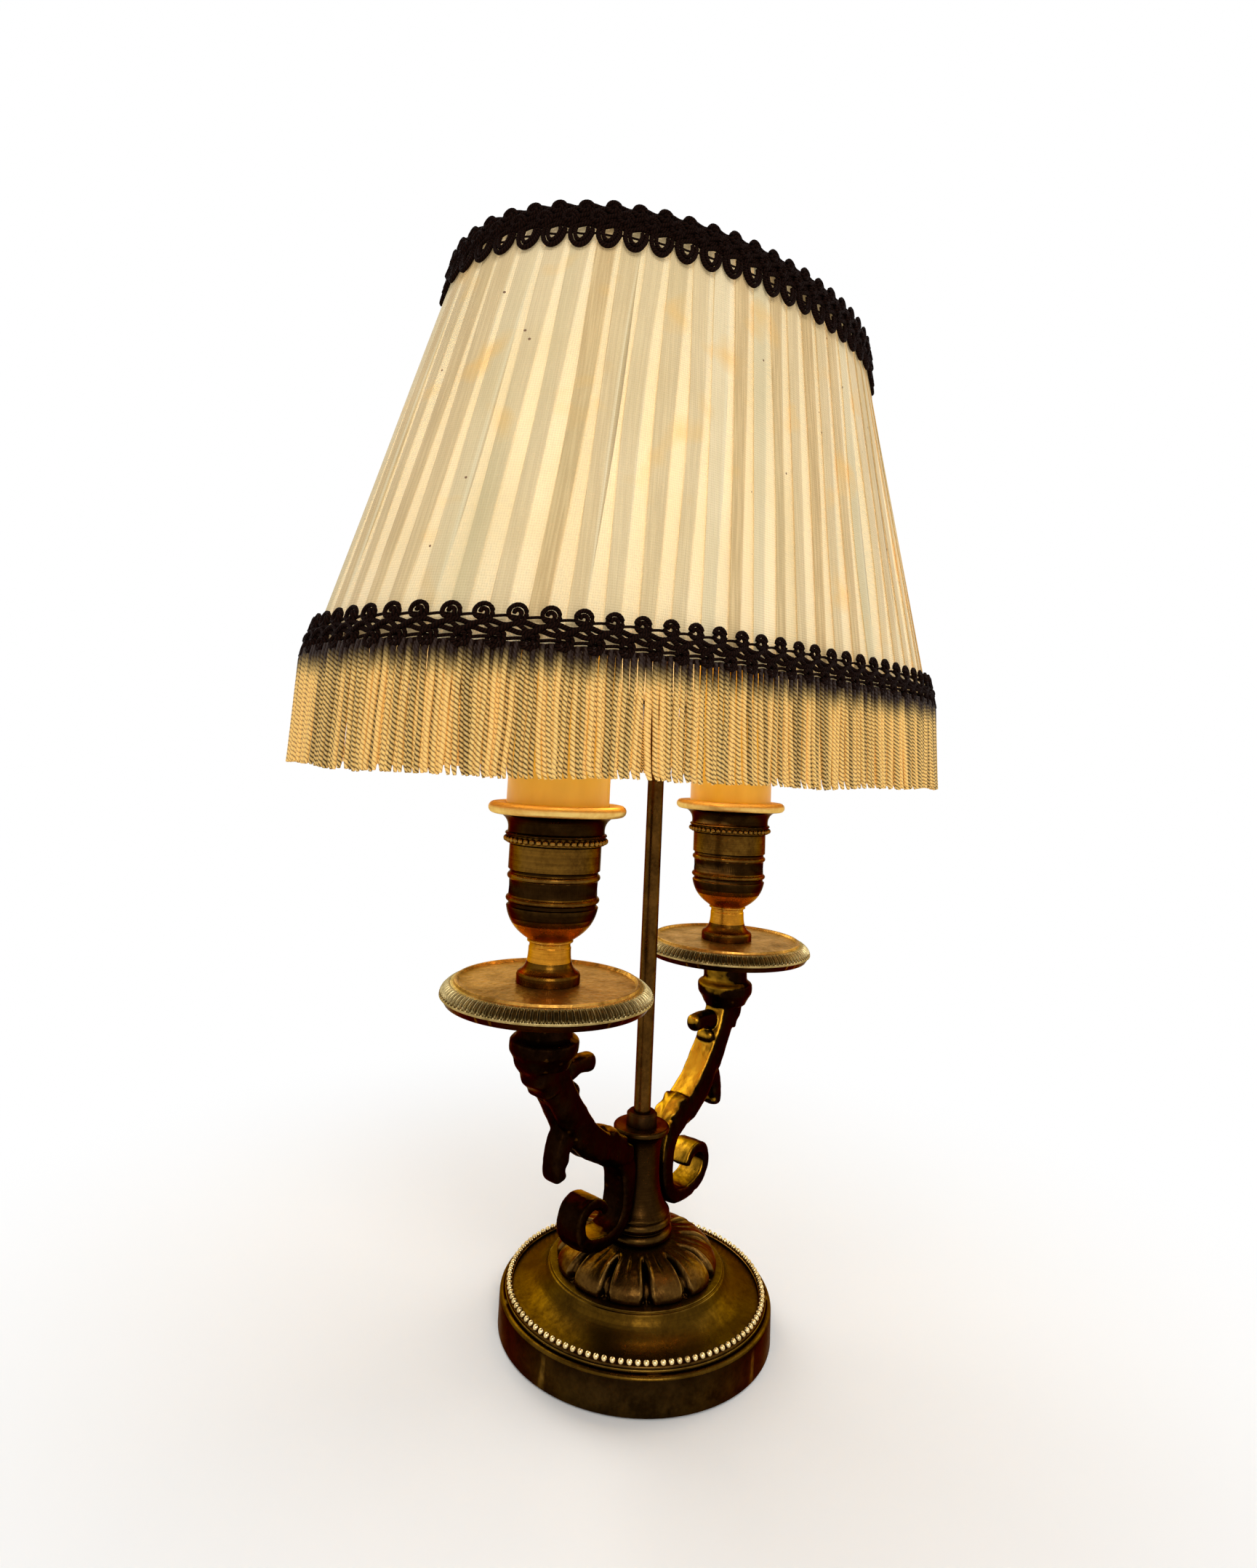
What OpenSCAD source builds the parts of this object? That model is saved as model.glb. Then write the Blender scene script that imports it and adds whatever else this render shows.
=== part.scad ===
// Two-light bedside lamp: round gilt brass base, trumpet stem, two scroll arms
// with drip pans and candle cups, and an oval pleated shade on a sliding rod.
// Origin: centre of the base on the table. +Z is up, the arms lie along X,
// and the front faces -Y. All sizes are in millimetres.

/* [Base] */
// Radius of the base drum
base_r = 46.5; // [46:0.5:60]
// Height of the drum's deck above the table
drum_h = 11.3; // [11.1:0.1:16]
// Wall thickness of the drum
drum_wall = 3.2; // [2:0.2:4]
// Thickness of the drum's deck
deck_t = 2.4; // [2:0.2:2.6]
// Thickness of the felt pad
felt_t = 1.8; // [1:0.1:2.2]
// How far the felt stands below the drum
felt_proud = 0.5; // [0.2:0.1:0.8]
// Thickness of the ballast disc
ballast_t = 5.4; // [4:0.2:6]
// Radius of one bead of the base's bead ring
bead_r = 1.15; // [0.8:0.05:1.3]
// Distance from the drum's edge to the bead ring
bead_inset = 3.1; // [2.8:0.1:4]
// Height of the coved plate's rim above the drum
cove_rim_h = 0.95; // [0.8:0.05:2]
// Height of the coved plate's ledge above the drum
ledge_h = 8.3; // [7:0.1:11]
// Radius of the ledge that carries the rosette
ledge_r = 29.8; // [29:0.2:33]

/* [Rosette and stem] */
// Outer radius of the leaf rosette
rosette_r = 27.4; // [24:0.2:28.2]
// Height of the leaf rosette
rosette_h = 8.6; // [7:0.1:10]
// Number of lobes round the rosette
rosette_lobes = 12; // [8:1:20]
// Radius of the turned ring under the stem
foot_ring_r = 12; // [11:0.2:13]
// Height of the turned ring under the stem
foot_ring_h = 7.2; // [6:0.2:8.4]
// Height of the trumpet column
column_h = 28.1; // [26:0.1:31]
// Radius of the column at its waist
column_waist_r = 6.9; // [6.4:0.1:7.4]
// Radius of the disc at the column's top
column_top_r = 9.9; // [9.2:0.1:10.6]
// Radius of the tie tube that clamps the base and stem together
tie_r = 4.2; // [3.8:0.1:4.6]
// Across-flats size of the tie nut
tie_nut_af = 13; // [11:0.5:15]
// Radius of the tie washer
washer_r = 8.5; // [8:0.5:11]

/* [Rod] */
// Radius of the shade rod
rod_r = 3; // [2.5:0.1:3.4]
// Height of the rod's top above the table
rod_top = 378; // [376:1:400]
// How deep the rod enters the tie tube
rod_insert = 18; // [10:1:30]
// Radius of the dark collar round the rod
collar_r = 5.4; // [5:0.1:8]
// Height of the dark collar
collar_h = 4.4; // [3:0.1:6]
// Radius of the finial's knob
finial_r = 5.2; // [4.6:0.1:8]
// Height of the finial
finial_h = 15; // [13:0.5:24]
// How far the rod enters the finial
finial_socket = 6; // [4:0.5:8]

/* [Arms] */
// Distance from the stem's axis to each candle's axis
arm_span = 53.5; // [52:0.5:56]
// Width of the arm's body, front to back
arm_w = 10; // [7:0.5:12]
// Width of the volute's strap, front to back
volute_w = 10; // [7:0.5:12]
// Half thickness of the volute's strap
volute_half = 2.6; // [2:0.1:3]
// Radius of the nozzle under the drip pan
nozzle_r = 9; // [8.6:0.1:10]
// Height of the nozzle
nozzle_h = 11.5; // [9:0.5:13]

/* [Drip pans] */
// Outer radius of the drip pan
pan_r = 33.8; // [31:0.1:40]
// Height of the pan's floor above the table
pan_z = 120.2; // [118:0.2:122]
// Height of the pan's floor above its underside
pan_t = 6.7; // [5.6:0.1:8]
// Height of the pan's lip above its floor
ridge_h = 0.8; // [0.4:0.1:2]
// Width of the leaf border outside the lip
border_w = 3.9; // [3:0.1:6]

/* [Candle cups] */
// Radius of the cup's rim
cup_rim_r = 22.5; // [21:0.1:26]
// Height of the cup
cup_h = 55.8; // [54:0.2:60]
// Radius of the cup's body
cup_body_r = 15; // [14.6:0.1:16]
// Radius of the cup's waist
cup_waist_r = 6.8; // [6.2:0.1:8]
// Radius of the cup's foot
cup_foot_r = 10.2; // [9:0.1:14]
// Wall thickness of the cup's body
cup_wall = 2; // [1.6:0.1:2.3]
// Radius of the threaded nipple
nipple_r = 4.9; // [4.5:0.1:5.2]
// Bore radius of the threaded nipple
nipple_bore_r = 3.4; // [2.5:0.1:3.8]
// Thickness of the nut inside the cup
cup_nut_t = 3; // [2:0.2:5]
// Across-flats size of the nut inside the cup
cup_nut_af = 14; // [13:0.5:17]

/* [Candle sleeves and bulbs] */
// Outer radius of the candle sleeve
sleeve_r = 16.8; // [16.2:0.1:17.6]
// Wall thickness of the candle sleeve
sleeve_wall = 1.2; // [0.8:0.1:1.6]
// Length of the candle sleeve
sleeve_l = 62; // [50:1:64]
// Outer radius of the lampholder
holder_r = 13.8; // [12:0.1:14.4]
// Length of the lampholder
holder_l = 46; // [40:1:50]
// Height of the lampholder's top above the sleeve's seat
holder_top = 59; // [56:0.5:62]
// Radius of the bulb's screw cap
cap_r = 6.95; // [6.9:0.05:7]
// Length of the bulb's screw cap
cap_l = 25; // [22:0.5:27]
// Largest radius of the bulb
bulb_r = 17.5; // [15:0.1:17.5]
// Length of the bulb's glass
bulb_l = 77; // [60:1:80]
// Wall thickness of the bulb's glass
glass_t = 0.8; // [0.5:0.1:1.2]

/* [Shade fitting] */
// Distance from the rod's top down to the sliding carrier's underside
carrier_drop = 43; // [40:1:60]
// Radius of the sliding carrier
carrier_r = 7; // [6.4:0.1:9]
// Height of the sliding carrier's body
carrier_h = 12; // [11:0.5:16]
// Radius of the carrier's threaded neck
neck_r = 5; // [4.4:0.1:5.4]
// Height of the carrier's threaded neck
neck_h = 6.4; // [6:0.1:8]
// Radius of the spider's hub
hub_r = 9; // [8:0.1:12]
// Thickness of the spider's hub
hub_t = 2.4; // [2:0.1:3]
// Radius of the spider's arms
spoke_r = 1.4; // [1:0.1:1.6]
// Angle of the spider's arms from the shade's long axis
spoke_angle = 40; // [25:1:65]
// Radius of the shade nut
shade_nut_r = 7.6; // [6.6:0.1:9]
// Thickness of the shade nut
shade_nut_t = 3.4; // [2.5:0.1:4]
// Radius of the thumb screw's shank
thumb_shank_r = 1.5; // [1.2:0.1:2]
// Radius of the thumb screw's head
thumb_head_r = 4.6; // [4:0.1:6]
// Gap between the carrier and the thumb screw's head
thumb_reach = 3.5; // [2:0.5:6]

/* [Shade] */
// Height of the shade's top edge above the carrier's underside
shade_rise = 27.5; // [22:0.5:33]
// Height of the shade from the lower braid's bottom edge to its top edge
shade_h = 145.2; // [138:0.1:152]
// Half length of the shade at its top
shade_top_a = 93; // [86:0.5:100]
// Half width of the shade at its top
shade_top_b = 62; // [60:0.5:75]
// Half length of the shade at its bottom
shade_bottom_a = 130.5; // [124:0.5:140]
// Half width of the shade at its bottom
shade_bottom_b = 73; // [72:0.5:95]
// Roundness of the oval at the top, 2 is a true ellipse
shade_top_n = 2.1; // [2:0.05:2.6]
// Roundness of the oval at the bottom
shade_bottom_n = 2.6; // [2:0.05:2.8]
// Turn of the shade on its rod, in degrees
shade_turn = -9.5; // [-15:0.5:30]
// Number of knife pleats round the cloth
pleats = 64; // [40:1:72]
// Depth of one pleat
pleat_d = 1.3; // [0.6:0.1:2]
// Thickness of the cloth
cloth_t = 0.9; // [0.6:0.1:1.4]
// Radius of the frame's wires
wire_r = 1.2; // [0.8:0.1:1.6]
// Number of upright ribs in the frame
ribs = 8; // [6:1:10]

/* [Braid and fringe] */
// Height of the top braid
top_braid_h = 17; // [10:0.5:18]
// Height of the bottom braid
bottom_braid_h = 11.5; // [8:0.5:14]
// Thickness of both braids
braid_t = 3; // [1.6:0.1:3.4]
// Length of the fringe below the bottom braid
fringe_l = 33; // [20:1:40]
// Thickness of the fringe
fringe_t = 1.6; // [1:0.1:2.2]
// Number of ridges round the fringe
fringe_ridges = 130; // [80:1:140]

/* [Cord inlet] */
// Bore radius of the cord bush
bush_bore_r = 2.4; // [2:0.1:2.6]
// Wall of the cord bush
bush_wall = 0.7; // [0.5:0.1:0.8]
// Overhang of the bush's outer flange
bush_flange = 0.9; // [0.6:0.1:1]

/* [Hidden] */
$fn = 96;
// Clearance of a turned fit
fit = 0.05;
// Clearance between soft pieces and their neighbours
soft_gap = 0.3;
// A cut runs this far past the face it opens
past = 1;

// Levels of the stem, each piece standing on the one below
plate_top_z = drum_h + ledge_h;
rosette_top_z = plate_top_z + rosette_h;
column_z = rosette_top_z + foot_ring_h;
column_top_z = column_z + column_h;
collar_top_z = column_top_z + collar_h;
deck_under_z = drum_h - deck_t;
washer_t = 0.9;
tie_nut_t = 3.6;
tie_bottom_z = deck_under_z - washer_t - tie_nut_t - 0.4;
tie_hole_r = tie_r + fit;
rod_hole_r = rod_r + fit;
bead_ring_r = base_r - bead_inset;
bead_z = drum_h + cove_rim_h + bead_r;
drum_inner_r = base_r - drum_wall;
bush_z = (felt_proud + deck_under_z) / 2 + 0.6;
bush_r = bush_bore_r + bush_wall;

// Levels of a candle
pan_under_z = pan_z - pan_t;
nozzle_z = pan_under_z - nozzle_h;
cup_top_z = pan_z + cup_h;
seat_depth = 3.2;
seat_z = cup_top_z - seat_depth;
cup_floor_z = pan_z + 18.3;
cup_inner_r = cup_body_r - cup_wall;
nipple_hole_r = nipple_r + fit;
holder_top_z = seat_z + holder_top;
holder_z = holder_top_z - holder_l;
nipple_enter = 8;
sleeve_top_z = seat_z + sleeve_l;
cap_z = holder_top_z - cap_l + 0.6;
cap_tip_h = 2.6;
glass_z = cap_z + cap_l;

// Levels of the shade, which hangs from the carrier on the rod
carrier_z = rod_top - carrier_drop;
shade_top_z = carrier_z + shade_rise;
shade_bottom_z = shade_top_z - shade_h;
neck_z = carrier_z + carrier_h;
thumb_z = carrier_z + carrier_h / 2;
cloth_top_z = shade_top_z - 2.4;
cloth_bottom_z = shade_bottom_z + 2.2;
wire_inset = cloth_t + pleat_d + soft_gap + wire_r;
top_wire_z = cloth_top_z - wire_r;
bottom_wire_z = cloth_bottom_z + wire_r;
spoke_z = neck_z + hub_t / 2;
hub_rim_r = max(hub_r, max(carrier_r, shade_nut_r) + 1.4);
fringe_drop_a = shade_bottom_a + soft_gap;
fringe_drop_b = shade_bottom_b + soft_gap;

// A cubic curve from p0 to p3
function curve(p0, p1, p2, p3, n = 10) = [for (i = [0 : n]) let (t = i / n, u = 1 - t)
    u * u * u * p0 + 3 * u * u * t * p1 + 3 * u * t * t * p2 + t * t * t * p3];
function signed_power(v, k) = v < 0 ? -pow(-v, k) : pow(v, k);
// A point on the oval with half sizes a and b, pushed out by off
function oval(a, b, n, t, off = 0) = let (
        c = signed_power(cos(t), 2 / n), s = signed_power(sin(t), 2 / n),
        x = a * c, y = b * s,
        nx = signed_power(cos(t), 2 - 2 / n) / a, ny = signed_power(sin(t), 2 - 2 / n) / b,
        m = norm([nx, ny]))
    [x + off * nx / m, y + off * ny / m];
// A point on the shade's cloth at height z
function shade_point(z, t, off = 0) = let (
        k = (z - shade_bottom_z) / (shade_top_z - shade_bottom_z),
        p = oval(shade_bottom_a + k * (shade_top_a - shade_bottom_a),
            shade_bottom_b + k * (shade_top_b - shade_bottom_b),
            shade_bottom_n + k * (shade_top_n - shade_bottom_n), t, off))
    [p[0], p[1], z];
// Midpoints of a smooth line through chosen points
function smooth(p, steps = 6) = [for (i = [0 : len(p) - 2]) let (
        a = p[max(i - 1, 0)], b = p[i], c = p[i + 1], d = p[min(i + 2, len(p) - 1)])
    for (j = [0 : steps - (i == len(p) - 2 ? 0 : 1)]) let (t = j / steps)
    0.5 * (2 * b + (c - a) * t + (2 * a - 5 * b + 4 * c - d) * t * t
        + (3 * b - a - 3 * c + d) * t * t * t)];

// A closed ring round the Z axis, skinned over sections of equal point count
module skinned_ring(sections) {
    n = len(sections);
    m = len(sections[0]);
    points = [for (s = sections) each s];
    faces = [for (i = [0 : n - 1], j = [0 : m - 1]) let (
            a = i * m + j, b = i * m + (j + 1) % m,
            c = ((i + 1) % n) * m + (j + 1) % m, d = ((i + 1) % n) * m + j)
        each [[a, b, c], [a, c, d]]];
    polyhedron(points, faces);
}

// A flat strap of changing half thickness along a smooth line of [x, z, half]
module strap(path, w) {
    s = smooth(path);
    n = len(s);
    side = function (i, k) let (
        t = s[min(i + 1, n - 1)] - s[max(i - 1, 0)], m = norm([t[0], t[1]]))
        [s[i][0] - k * s[i][2] * t[1] / m, s[i][1] + k * s[i][2] * t[0] / m];
    rotate([90, 0, 0])
        linear_extrude(w, center = true)
            polygon([for (i = [0 : n - 1]) side(i, 1), for (i = [n - 1 : -1 : 0]) side(i, -1)]);
}

module turned(points) {
    rotate_extrude()
        polygon(points);
}

module tube(r_out, r_in, z0, z1) {
    translate([0, 0, z0])
        difference() {
            cylinder(h = z1 - z0, r = r_out);
            translate([0, 0, -past])
                cylinder(h = z1 - z0 + 2 * past, r = r_in);
        }
}

module hex_nut(af, t, hole_r) {
    difference() {
        cylinder(h = t, r = af / sqrt(3), $fn = 6);
        translate([0, 0, -past])
            cylinder(h = t + 2 * past, r = hole_r);
    }
}

// side is -1 for the left candle and 1 for the right one
module at_candle(side) {
    translate([side * arm_span, 0, 0])
        children();
}

module base_drum() {
    lip = 0.8;
    color("#5a4020")
        difference() {
            turned([[tie_hole_r, deck_under_z], [tie_hole_r, drum_h], [base_r - lip, drum_h],
                [base_r, drum_h - lip], [base_r, felt_proud], [drum_inner_r, felt_proud],
                [drum_inner_r, deck_under_z]]);
            translate([0, base_r, bush_z])
                rotate([90, 0, 0])
                    cylinder(h = 2 * (drum_wall + past), r = bush_r + fit, center = true);
        }
}

module base_felt() {
    color("#2d4a33")
        cylinder(h = felt_t, r = drum_inner_r - soft_gap);
}

module ballast_disc() {
    channel_w = 2 * bush_r + 2;
    hole_r = washer_r + 1.5;
    ballast_top = felt_t + min(ballast_t, deck_under_z - felt_t - 0.3);
    color("#3a3a3a")
        difference() {
            tube(drum_inner_r - 0.4, hole_r, felt_t, ballast_top);
            translate([-channel_w / 2, 0, 0])
                cube([channel_w, base_r, drum_h]);
        }
}

module base_plate() {
    rim_z = drum_h + cove_rim_h;
    rim_r = bead_ring_r + bead_r + 0.2;
    lip = 0.6;
    color("#8a6a2c")
        turned(concat([[tie_hole_r, drum_h], [rim_r, drum_h], [rim_r, rim_z],
            [bead_ring_r - bead_r - 0.4, rim_z]],
            curve([bead_ring_r - 2.2, rim_z + 0.2], [ledge_r + 7, rim_z + 0.8],
                [ledge_r + 2, rim_z + 2.4], [ledge_r + 0.6, plate_top_z - lip], 8),
            [[ledge_r, plate_top_z - lip], [ledge_r, plate_top_z], [tie_hole_r, plate_top_z]]));
}

module bead_ring() {
    color("#c9a860")
        rotate_extrude()
            translate([bead_ring_r, bead_z])
                circle(r = bead_r, $fn = 24);
}

module leaf_rosette() {
    columns = 8;
    crown_r = foot_ring_r + 1;
    crest = function (w) let (edge = rosette_r - 2.6 * w, h = rosette_h, z = plate_top_z)
        [[tie_hole_r + 0.5, z], [edge, z], [edge + 0.3, z + 0.22 * h], [edge - 1.2 - w, z + 0.52 * h],
        [edge - 4.4 - 0.6 * w, z + 0.8 * h - 0.6 * w], [edge - 9, z + 0.95 * h - 0.3 * w],
        [crown_r, z + h], [tie_hole_r + 0.5, z + h]];
    color("#4a3418")
        skinned_ring([for (i = [0 : rosette_lobes * columns - 1]) let (
                t = 360 * i / (rosette_lobes * columns), w = pow(abs(sin(t * rosette_lobes / 2)), 3))
            [for (p = crest(w)) [p[0] * cos(t), p[0] * sin(t), p[1]]]]);
}

module stem_foot_ring() {
    half = foot_ring_h / 2;
    r = foot_ring_r;
    z = rosette_top_z;
    color("#6b4d20")
        turned([[tie_hole_r, z], [r - 0.6, z], [r, z + 0.8], [r, z + half - 0.8], [r - 0.9, z + half],
            [r - 0.4, z + half + 0.8], [r - 0.4, z + foot_ring_h - 0.8],
            [r - 1, z + foot_ring_h], [tie_hole_r, z + foot_ring_h]]);
}

// Outline of the column, pushed out by off
function column_profile(off, inner_r) = let (z = column_z, h = column_h, disc = 2)
    concat([[inner_r, z], [foot_ring_r - 1 + off, z], [foot_ring_r - 1 + off, z + 0.7]],
        curve([foot_ring_r - 1.4 + off, z + 1.2], [foot_ring_r - 3.6 + off, z + 3],
            [column_waist_r + off, z + 8], [column_waist_r + off, z + 14.6], 8),
        curve([column_waist_r + off, z + 17.6], [column_waist_r + off, z + 20.6],
            [column_waist_r + 0.6 + off, z + h - disc - 1.4], [column_top_r - 0.7 + off, z + h - disc], 6),
        [[column_top_r + off, z + h - disc + 0.5], [column_top_r + off, z + h - 0.5],
        [column_top_r - 0.5 + off, z + h], [inner_r, z + h]]);

module stem_column() {
    color("#6b4d20")
        turned(column_profile(0, tie_hole_r));
}

module tie_tube() {
    color("#8f8f8f")
        tube(tie_r, rod_hole_r, tie_bottom_z, column_top_z);
}

module tie_washer() {
    color("#9a9a9a")
        tube(washer_r, tie_hole_r, deck_under_z - washer_t, deck_under_z);
}

module tie_nut() {
    color("#9a9a9a")
        translate([0, 0, deck_under_z - washer_t - tie_nut_t])
            hex_nut(tie_nut_af, tie_nut_t, tie_hole_r);
}

module cord_bush() {
    lead = 1.1;
    color("#241a12")
        translate([0, base_r, bush_z])
            rotate([90, 0, 0])
                difference() {
                    union() {
                        translate([0, 0, -lead])
                            cylinder(h = lead, r = bush_r + bush_flange);
                        cylinder(h = drum_wall + 1.4, r = bush_r);
                    }
                    translate([0, 0, -lead - past])
                        cylinder(h = drum_wall + 1.4 + lead + 2 * past, r = bush_bore_r);
                }
}

module rod_collar() {
    r = collar_r;
    color("#2a1c0e")
        turned([[rod_hole_r, column_top_z], [r, column_top_z], [r, collar_top_z - 0.8],
            [r - 0.8, collar_top_z], [rod_hole_r, collar_top_z]]);
}

module shade_rod() {
    color("#6e4c22")
        translate([0, 0, column_top_z - rod_insert])
            cylinder(h = rod_top - column_top_z + rod_insert, r = rod_r);
}

module finial() {
    z = rod_top - finial_socket;
    h = finial_h;
    color("#9a7430")
        turned(concat([[rod_hole_r, z], [finial_r - 1, z], [finial_r - 0.6, z + 0.8],
            [finial_r - 1.2, z + 2.2]],
            curve([finial_r - 1.1, z + 4], [finial_r + 1, z + 6], [finial_r + 0.8, z + h - 4],
                [2, z + h - 2.2], 8),
            curve([1.4, z + h - 1.8], [2.2, z + h - 1.4], [1.6, z + h], [0, z + h], 4),
            [[0, rod_top + 0.2], [rod_hole_r, rod_top + 0.2]]));
}

// One cast scroll arm. x is counted from the stem's axis towards the candle.
module arm() {
    s = arm_span;
    n = nozzle_z;
    half = volute_half;
    body = [[s - 0.5, n + 2, 10.4], [s - 1, n - 3, 8.6], [s - 2, n - 9, 6.2], [s - 8.3, n - 18.2, 5.2],
        [s - 14, n - 25.5, 5.2], [33, n - 33, 5.6], [23.7, n - 38.6, 4.8], [15.6, n - 42.8, 4.4],
        [9.4, n - 44.4, 3.4]];
    run = [[23.7, n - 38.6, 4.6], [15.6, n - 43, 4.6], [11.8, n - 49.5, half + 1.5],
        [11.3, n - 56.5, half + 0.9], [12.4, n - 62, half + 0.6], [16, n - 66, half + 0.3],
        [22, n - 67.3, half], [28.5, n - 66.8, half], [34, n - 64.6, half], [36.5, n - 60, half],
        [35, n - 55.4, half], [30.6, n - 53.6, half - 0.3], [25.6, n - 55.4, half - 0.5],
        [22.9, n - 59.2, half - 0.8]];
    tail = [[s - 14.5, n - 27, 5], [s - 9.8, n - 32.5, 4], [s - 7.8, n - 38.5, 3], [s - 8.6, n - 44, 2.4]];
    stub = [[s - 9, n - 11.5, 3.4], [s - 17, n - 10.2, 3.1], [s - 24, n - 10.8, 2.9]];
    leaf = [[s + 1, n - 9, 5], [s + 6.5, n - 3.5, 4.2], [s + 9.5, n + 1, 2.6]];
    difference() {
        union() {
            translate([s, 0, n])
                cylinder(h = nozzle_h, r = nozzle_r);
            strap(body, arm_w);
            strap(run, volute_w);
            strap(tail, arm_w - 3.5);
            strap(stub, arm_w - 4);
            strap(leaf, arm_w);
        }
        translate([s, 0, n - 2])
            cylinder(h = nozzle_h + 2 + past, r = nipple_hole_r);
        turned(column_profile(0.02, 0));
        turned([[0, column_z - past], [foot_ring_r, column_z - past], [foot_ring_r, column_z],
            [0, column_z]]);
        translate([0, 0, column_top_z])
            cylinder(h = 2 * collar_h, r = collar_r + fit);
    }
}

module arm_left() {
    color("#4d3618")
        rotate([0, 0, 180])
            arm();
}

module arm_right() {
    color("#4d3618")
        arm();
}

module drip_pan(side) {
    r = pan_r;
    z = pan_z;
    under = pan_under_z;
    ridge_r = r - border_w;
    recess_z = z - 3.6;
    color("#8a6c34")
        at_candle(side)
            turned(concat([[nipple_hole_r, under], [nozzle_r + 1.6, under], [nozzle_r + 2.4, recess_z],
                [ridge_r - 1.4, recess_z], [ridge_r - 0.5, under + 0.5], [r - 1.7, under + 0.7],
                [r, z - 3.5]],
                curve([r - 0.2, z - 3], [r - 0.9, z - 1.6], [ridge_r + 2, z - 0.6],
                    [ridge_r + 0.7, z - 0.2], 5),
                [[ridge_r - 0.4, z], [ridge_r - 0.5, z + ridge_h], [ridge_r - 1.3, z + ridge_h],
                [ridge_r - 1.9, z], [nipple_hole_r, z]]));
}

module candle_cup(side) {
    z = pan_z;
    b = cup_body_r;
    w = cup_waist_r;
    f = cup_foot_r;
    rim = cup_rim_r;
    top = cup_top_z;
    seat_r = sleeve_r + 0.2;
    color("#7d5c28")
        at_candle(side)
            turned(concat([[nipple_hole_r, z], [f, z], [f, z + 2.4]],
                curve([f - 0.4, z + 3.2], [w + 0.6, z + 4.2], [w, z + 6.4], [w, z + 10.8], 5),
                [[w, z + 12.2]],
                curve([w + 0.4, z + 13], [w + 3.4, z + 15.2], [b - 1.2, z + 17.6], [b - 0.2, top - 32.4], 7),
                [[b - 0.8, top - 32], [b - 0.8, top - 31.1], [b - 0.2, top - 30.7], [b + 0.1, top - 30.1],
                [b - 0.2, top - 29.4], [b - 0.7, top - 28.8], [b - 0.7, top - 24.3], [b, top - 23.7],
                [b, top - 22.4], [b - 0.6, top - 21.8], [b - 0.6, top - 21.2], [b - 0.1, top - 20.9],
                [b - 0.1, top - 13.2], [b + 1.2, top - 12.9], [b + 1.9, top - 11.5],
                [b + 1.2, top - 10.1]],
                curve([b + 0.4, top - 9.7], [b + 0.1, top - 7.6], [b + 1.4, top - 5],
                    [rim - 2.2, top - 3.1], 6),
                [[rim - 0.4, top - 2.4], [rim, top - 1.4], [rim - 0.5, top - 0.3], [rim - 1.8, top],
                [seat_r, top - 0.4], [seat_r, seat_z], [cup_inner_r, seat_z],
                [cup_inner_r, cup_floor_z + 3.2], [cup_inner_r - 2.4, cup_floor_z],
                [nipple_hole_r, cup_floor_z]]));
}

module nipple(side) {
    color("#8f8f8f")
        at_candle(side)
            tube(nipple_r, nipple_bore_r, nozzle_z - 1, holder_z + nipple_enter);
}

module cup_nuts() {
    color("#9a9a9a")
        for (side = [-1, 1])
            at_candle(side)
                translate([0, 0, cup_floor_z])
                    hex_nut(cup_nut_af, cup_nut_t, nipple_hole_r);
}

module lampholder(side) {
    z = holder_z;
    top = holder_top_z;
    socket_r = cap_r + 0.1;
    color("#2b2724")
        at_candle(side)
            turned([[nipple_hole_r, z], [holder_r - 3, z], [holder_r - 1.4, z + 5],
                [holder_r - 1.4, top - 27], [holder_r, top - 26], [holder_r, top - 1], [holder_r - 1, top],
                [socket_r, top], [socket_r, cap_z], [3, cap_z - cap_tip_h], [0, cap_z - cap_tip_h],
                [0, z + nipple_enter + 0.4], [nipple_hole_r, z + nipple_enter + 0.4]]);
}

module sleeve(side) {
    color("#e9cf94")
        at_candle(side)
            tube(sleeve_r, sleeve_r - sleeve_wall, seat_z, sleeve_top_z);
}

module bulb_cap(side) {
    z = cap_z;
    color("#b9a36a")
        at_candle(side)
            turned([[0, z - cap_tip_h + 0.1], [2, z - cap_tip_h + 0.1], [2.4, z - 1], [cap_r - 1.5, z + 0.3],
                [cap_r, z + 2], [cap_r, glass_z], [0, glass_z]]);
}

// Outline of the bulb from its neck to its tip
function bulb_profile(off) = let (r = bulb_r - off, z = glass_z, l = bulb_l - off)
    concat(curve([cap_r - 0.6 - off, z], [cap_r + 0.6 - off, z + 0.12 * l], [r, z + 0.12 * l],
            [r, z + 0.34 * l], 7),
        curve([r, z + 0.4 * l], [r, z + 0.66 * l], [3.2, z + 0.8 * l], [1.4, z + 0.985 * l], 9),
        [[0, z + l]]);

module bulb_glass(side) {
    outer = bulb_profile(0);
    inner = bulb_profile(glass_t);
    color("#fff0d2")
        at_candle(side)
            turned(concat(outer, [for (i = [len(inner) - 1 : -1 : 0]) inner[i]]));
}

module shade_carrier() {
    color("#8a6a2c")
        difference() {
            union() {
                translate([0, 0, carrier_z])
                    cylinder(h = carrier_h, r = carrier_r);
                translate([0, 0, neck_z])
                    cylinder(h = neck_h, r = neck_r);
            }
            translate([0, 0, carrier_z - past])
                cylinder(h = carrier_h + neck_h + 2 * past, r = rod_hole_r);
            translate([0, 0, thumb_z])
                rotate([90, 0, 0])
                    cylinder(h = carrier_r + past, r = thumb_shank_r + fit);
        }
}

module thumb_screw() {
    tip = rod_r + 0.1;
    head_t = 3;
    head_y = carrier_r + thumb_reach;
    color("#9a7430")
        translate([0, 0, thumb_z])
            rotate([90, 0, 0]) {
                translate([0, 0, tip])
                    cylinder(h = head_y - tip, r = thumb_shank_r);
                translate([0, 0, head_y])
                    cylinder(h = head_t, r = thumb_head_r);
            }
}

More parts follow.
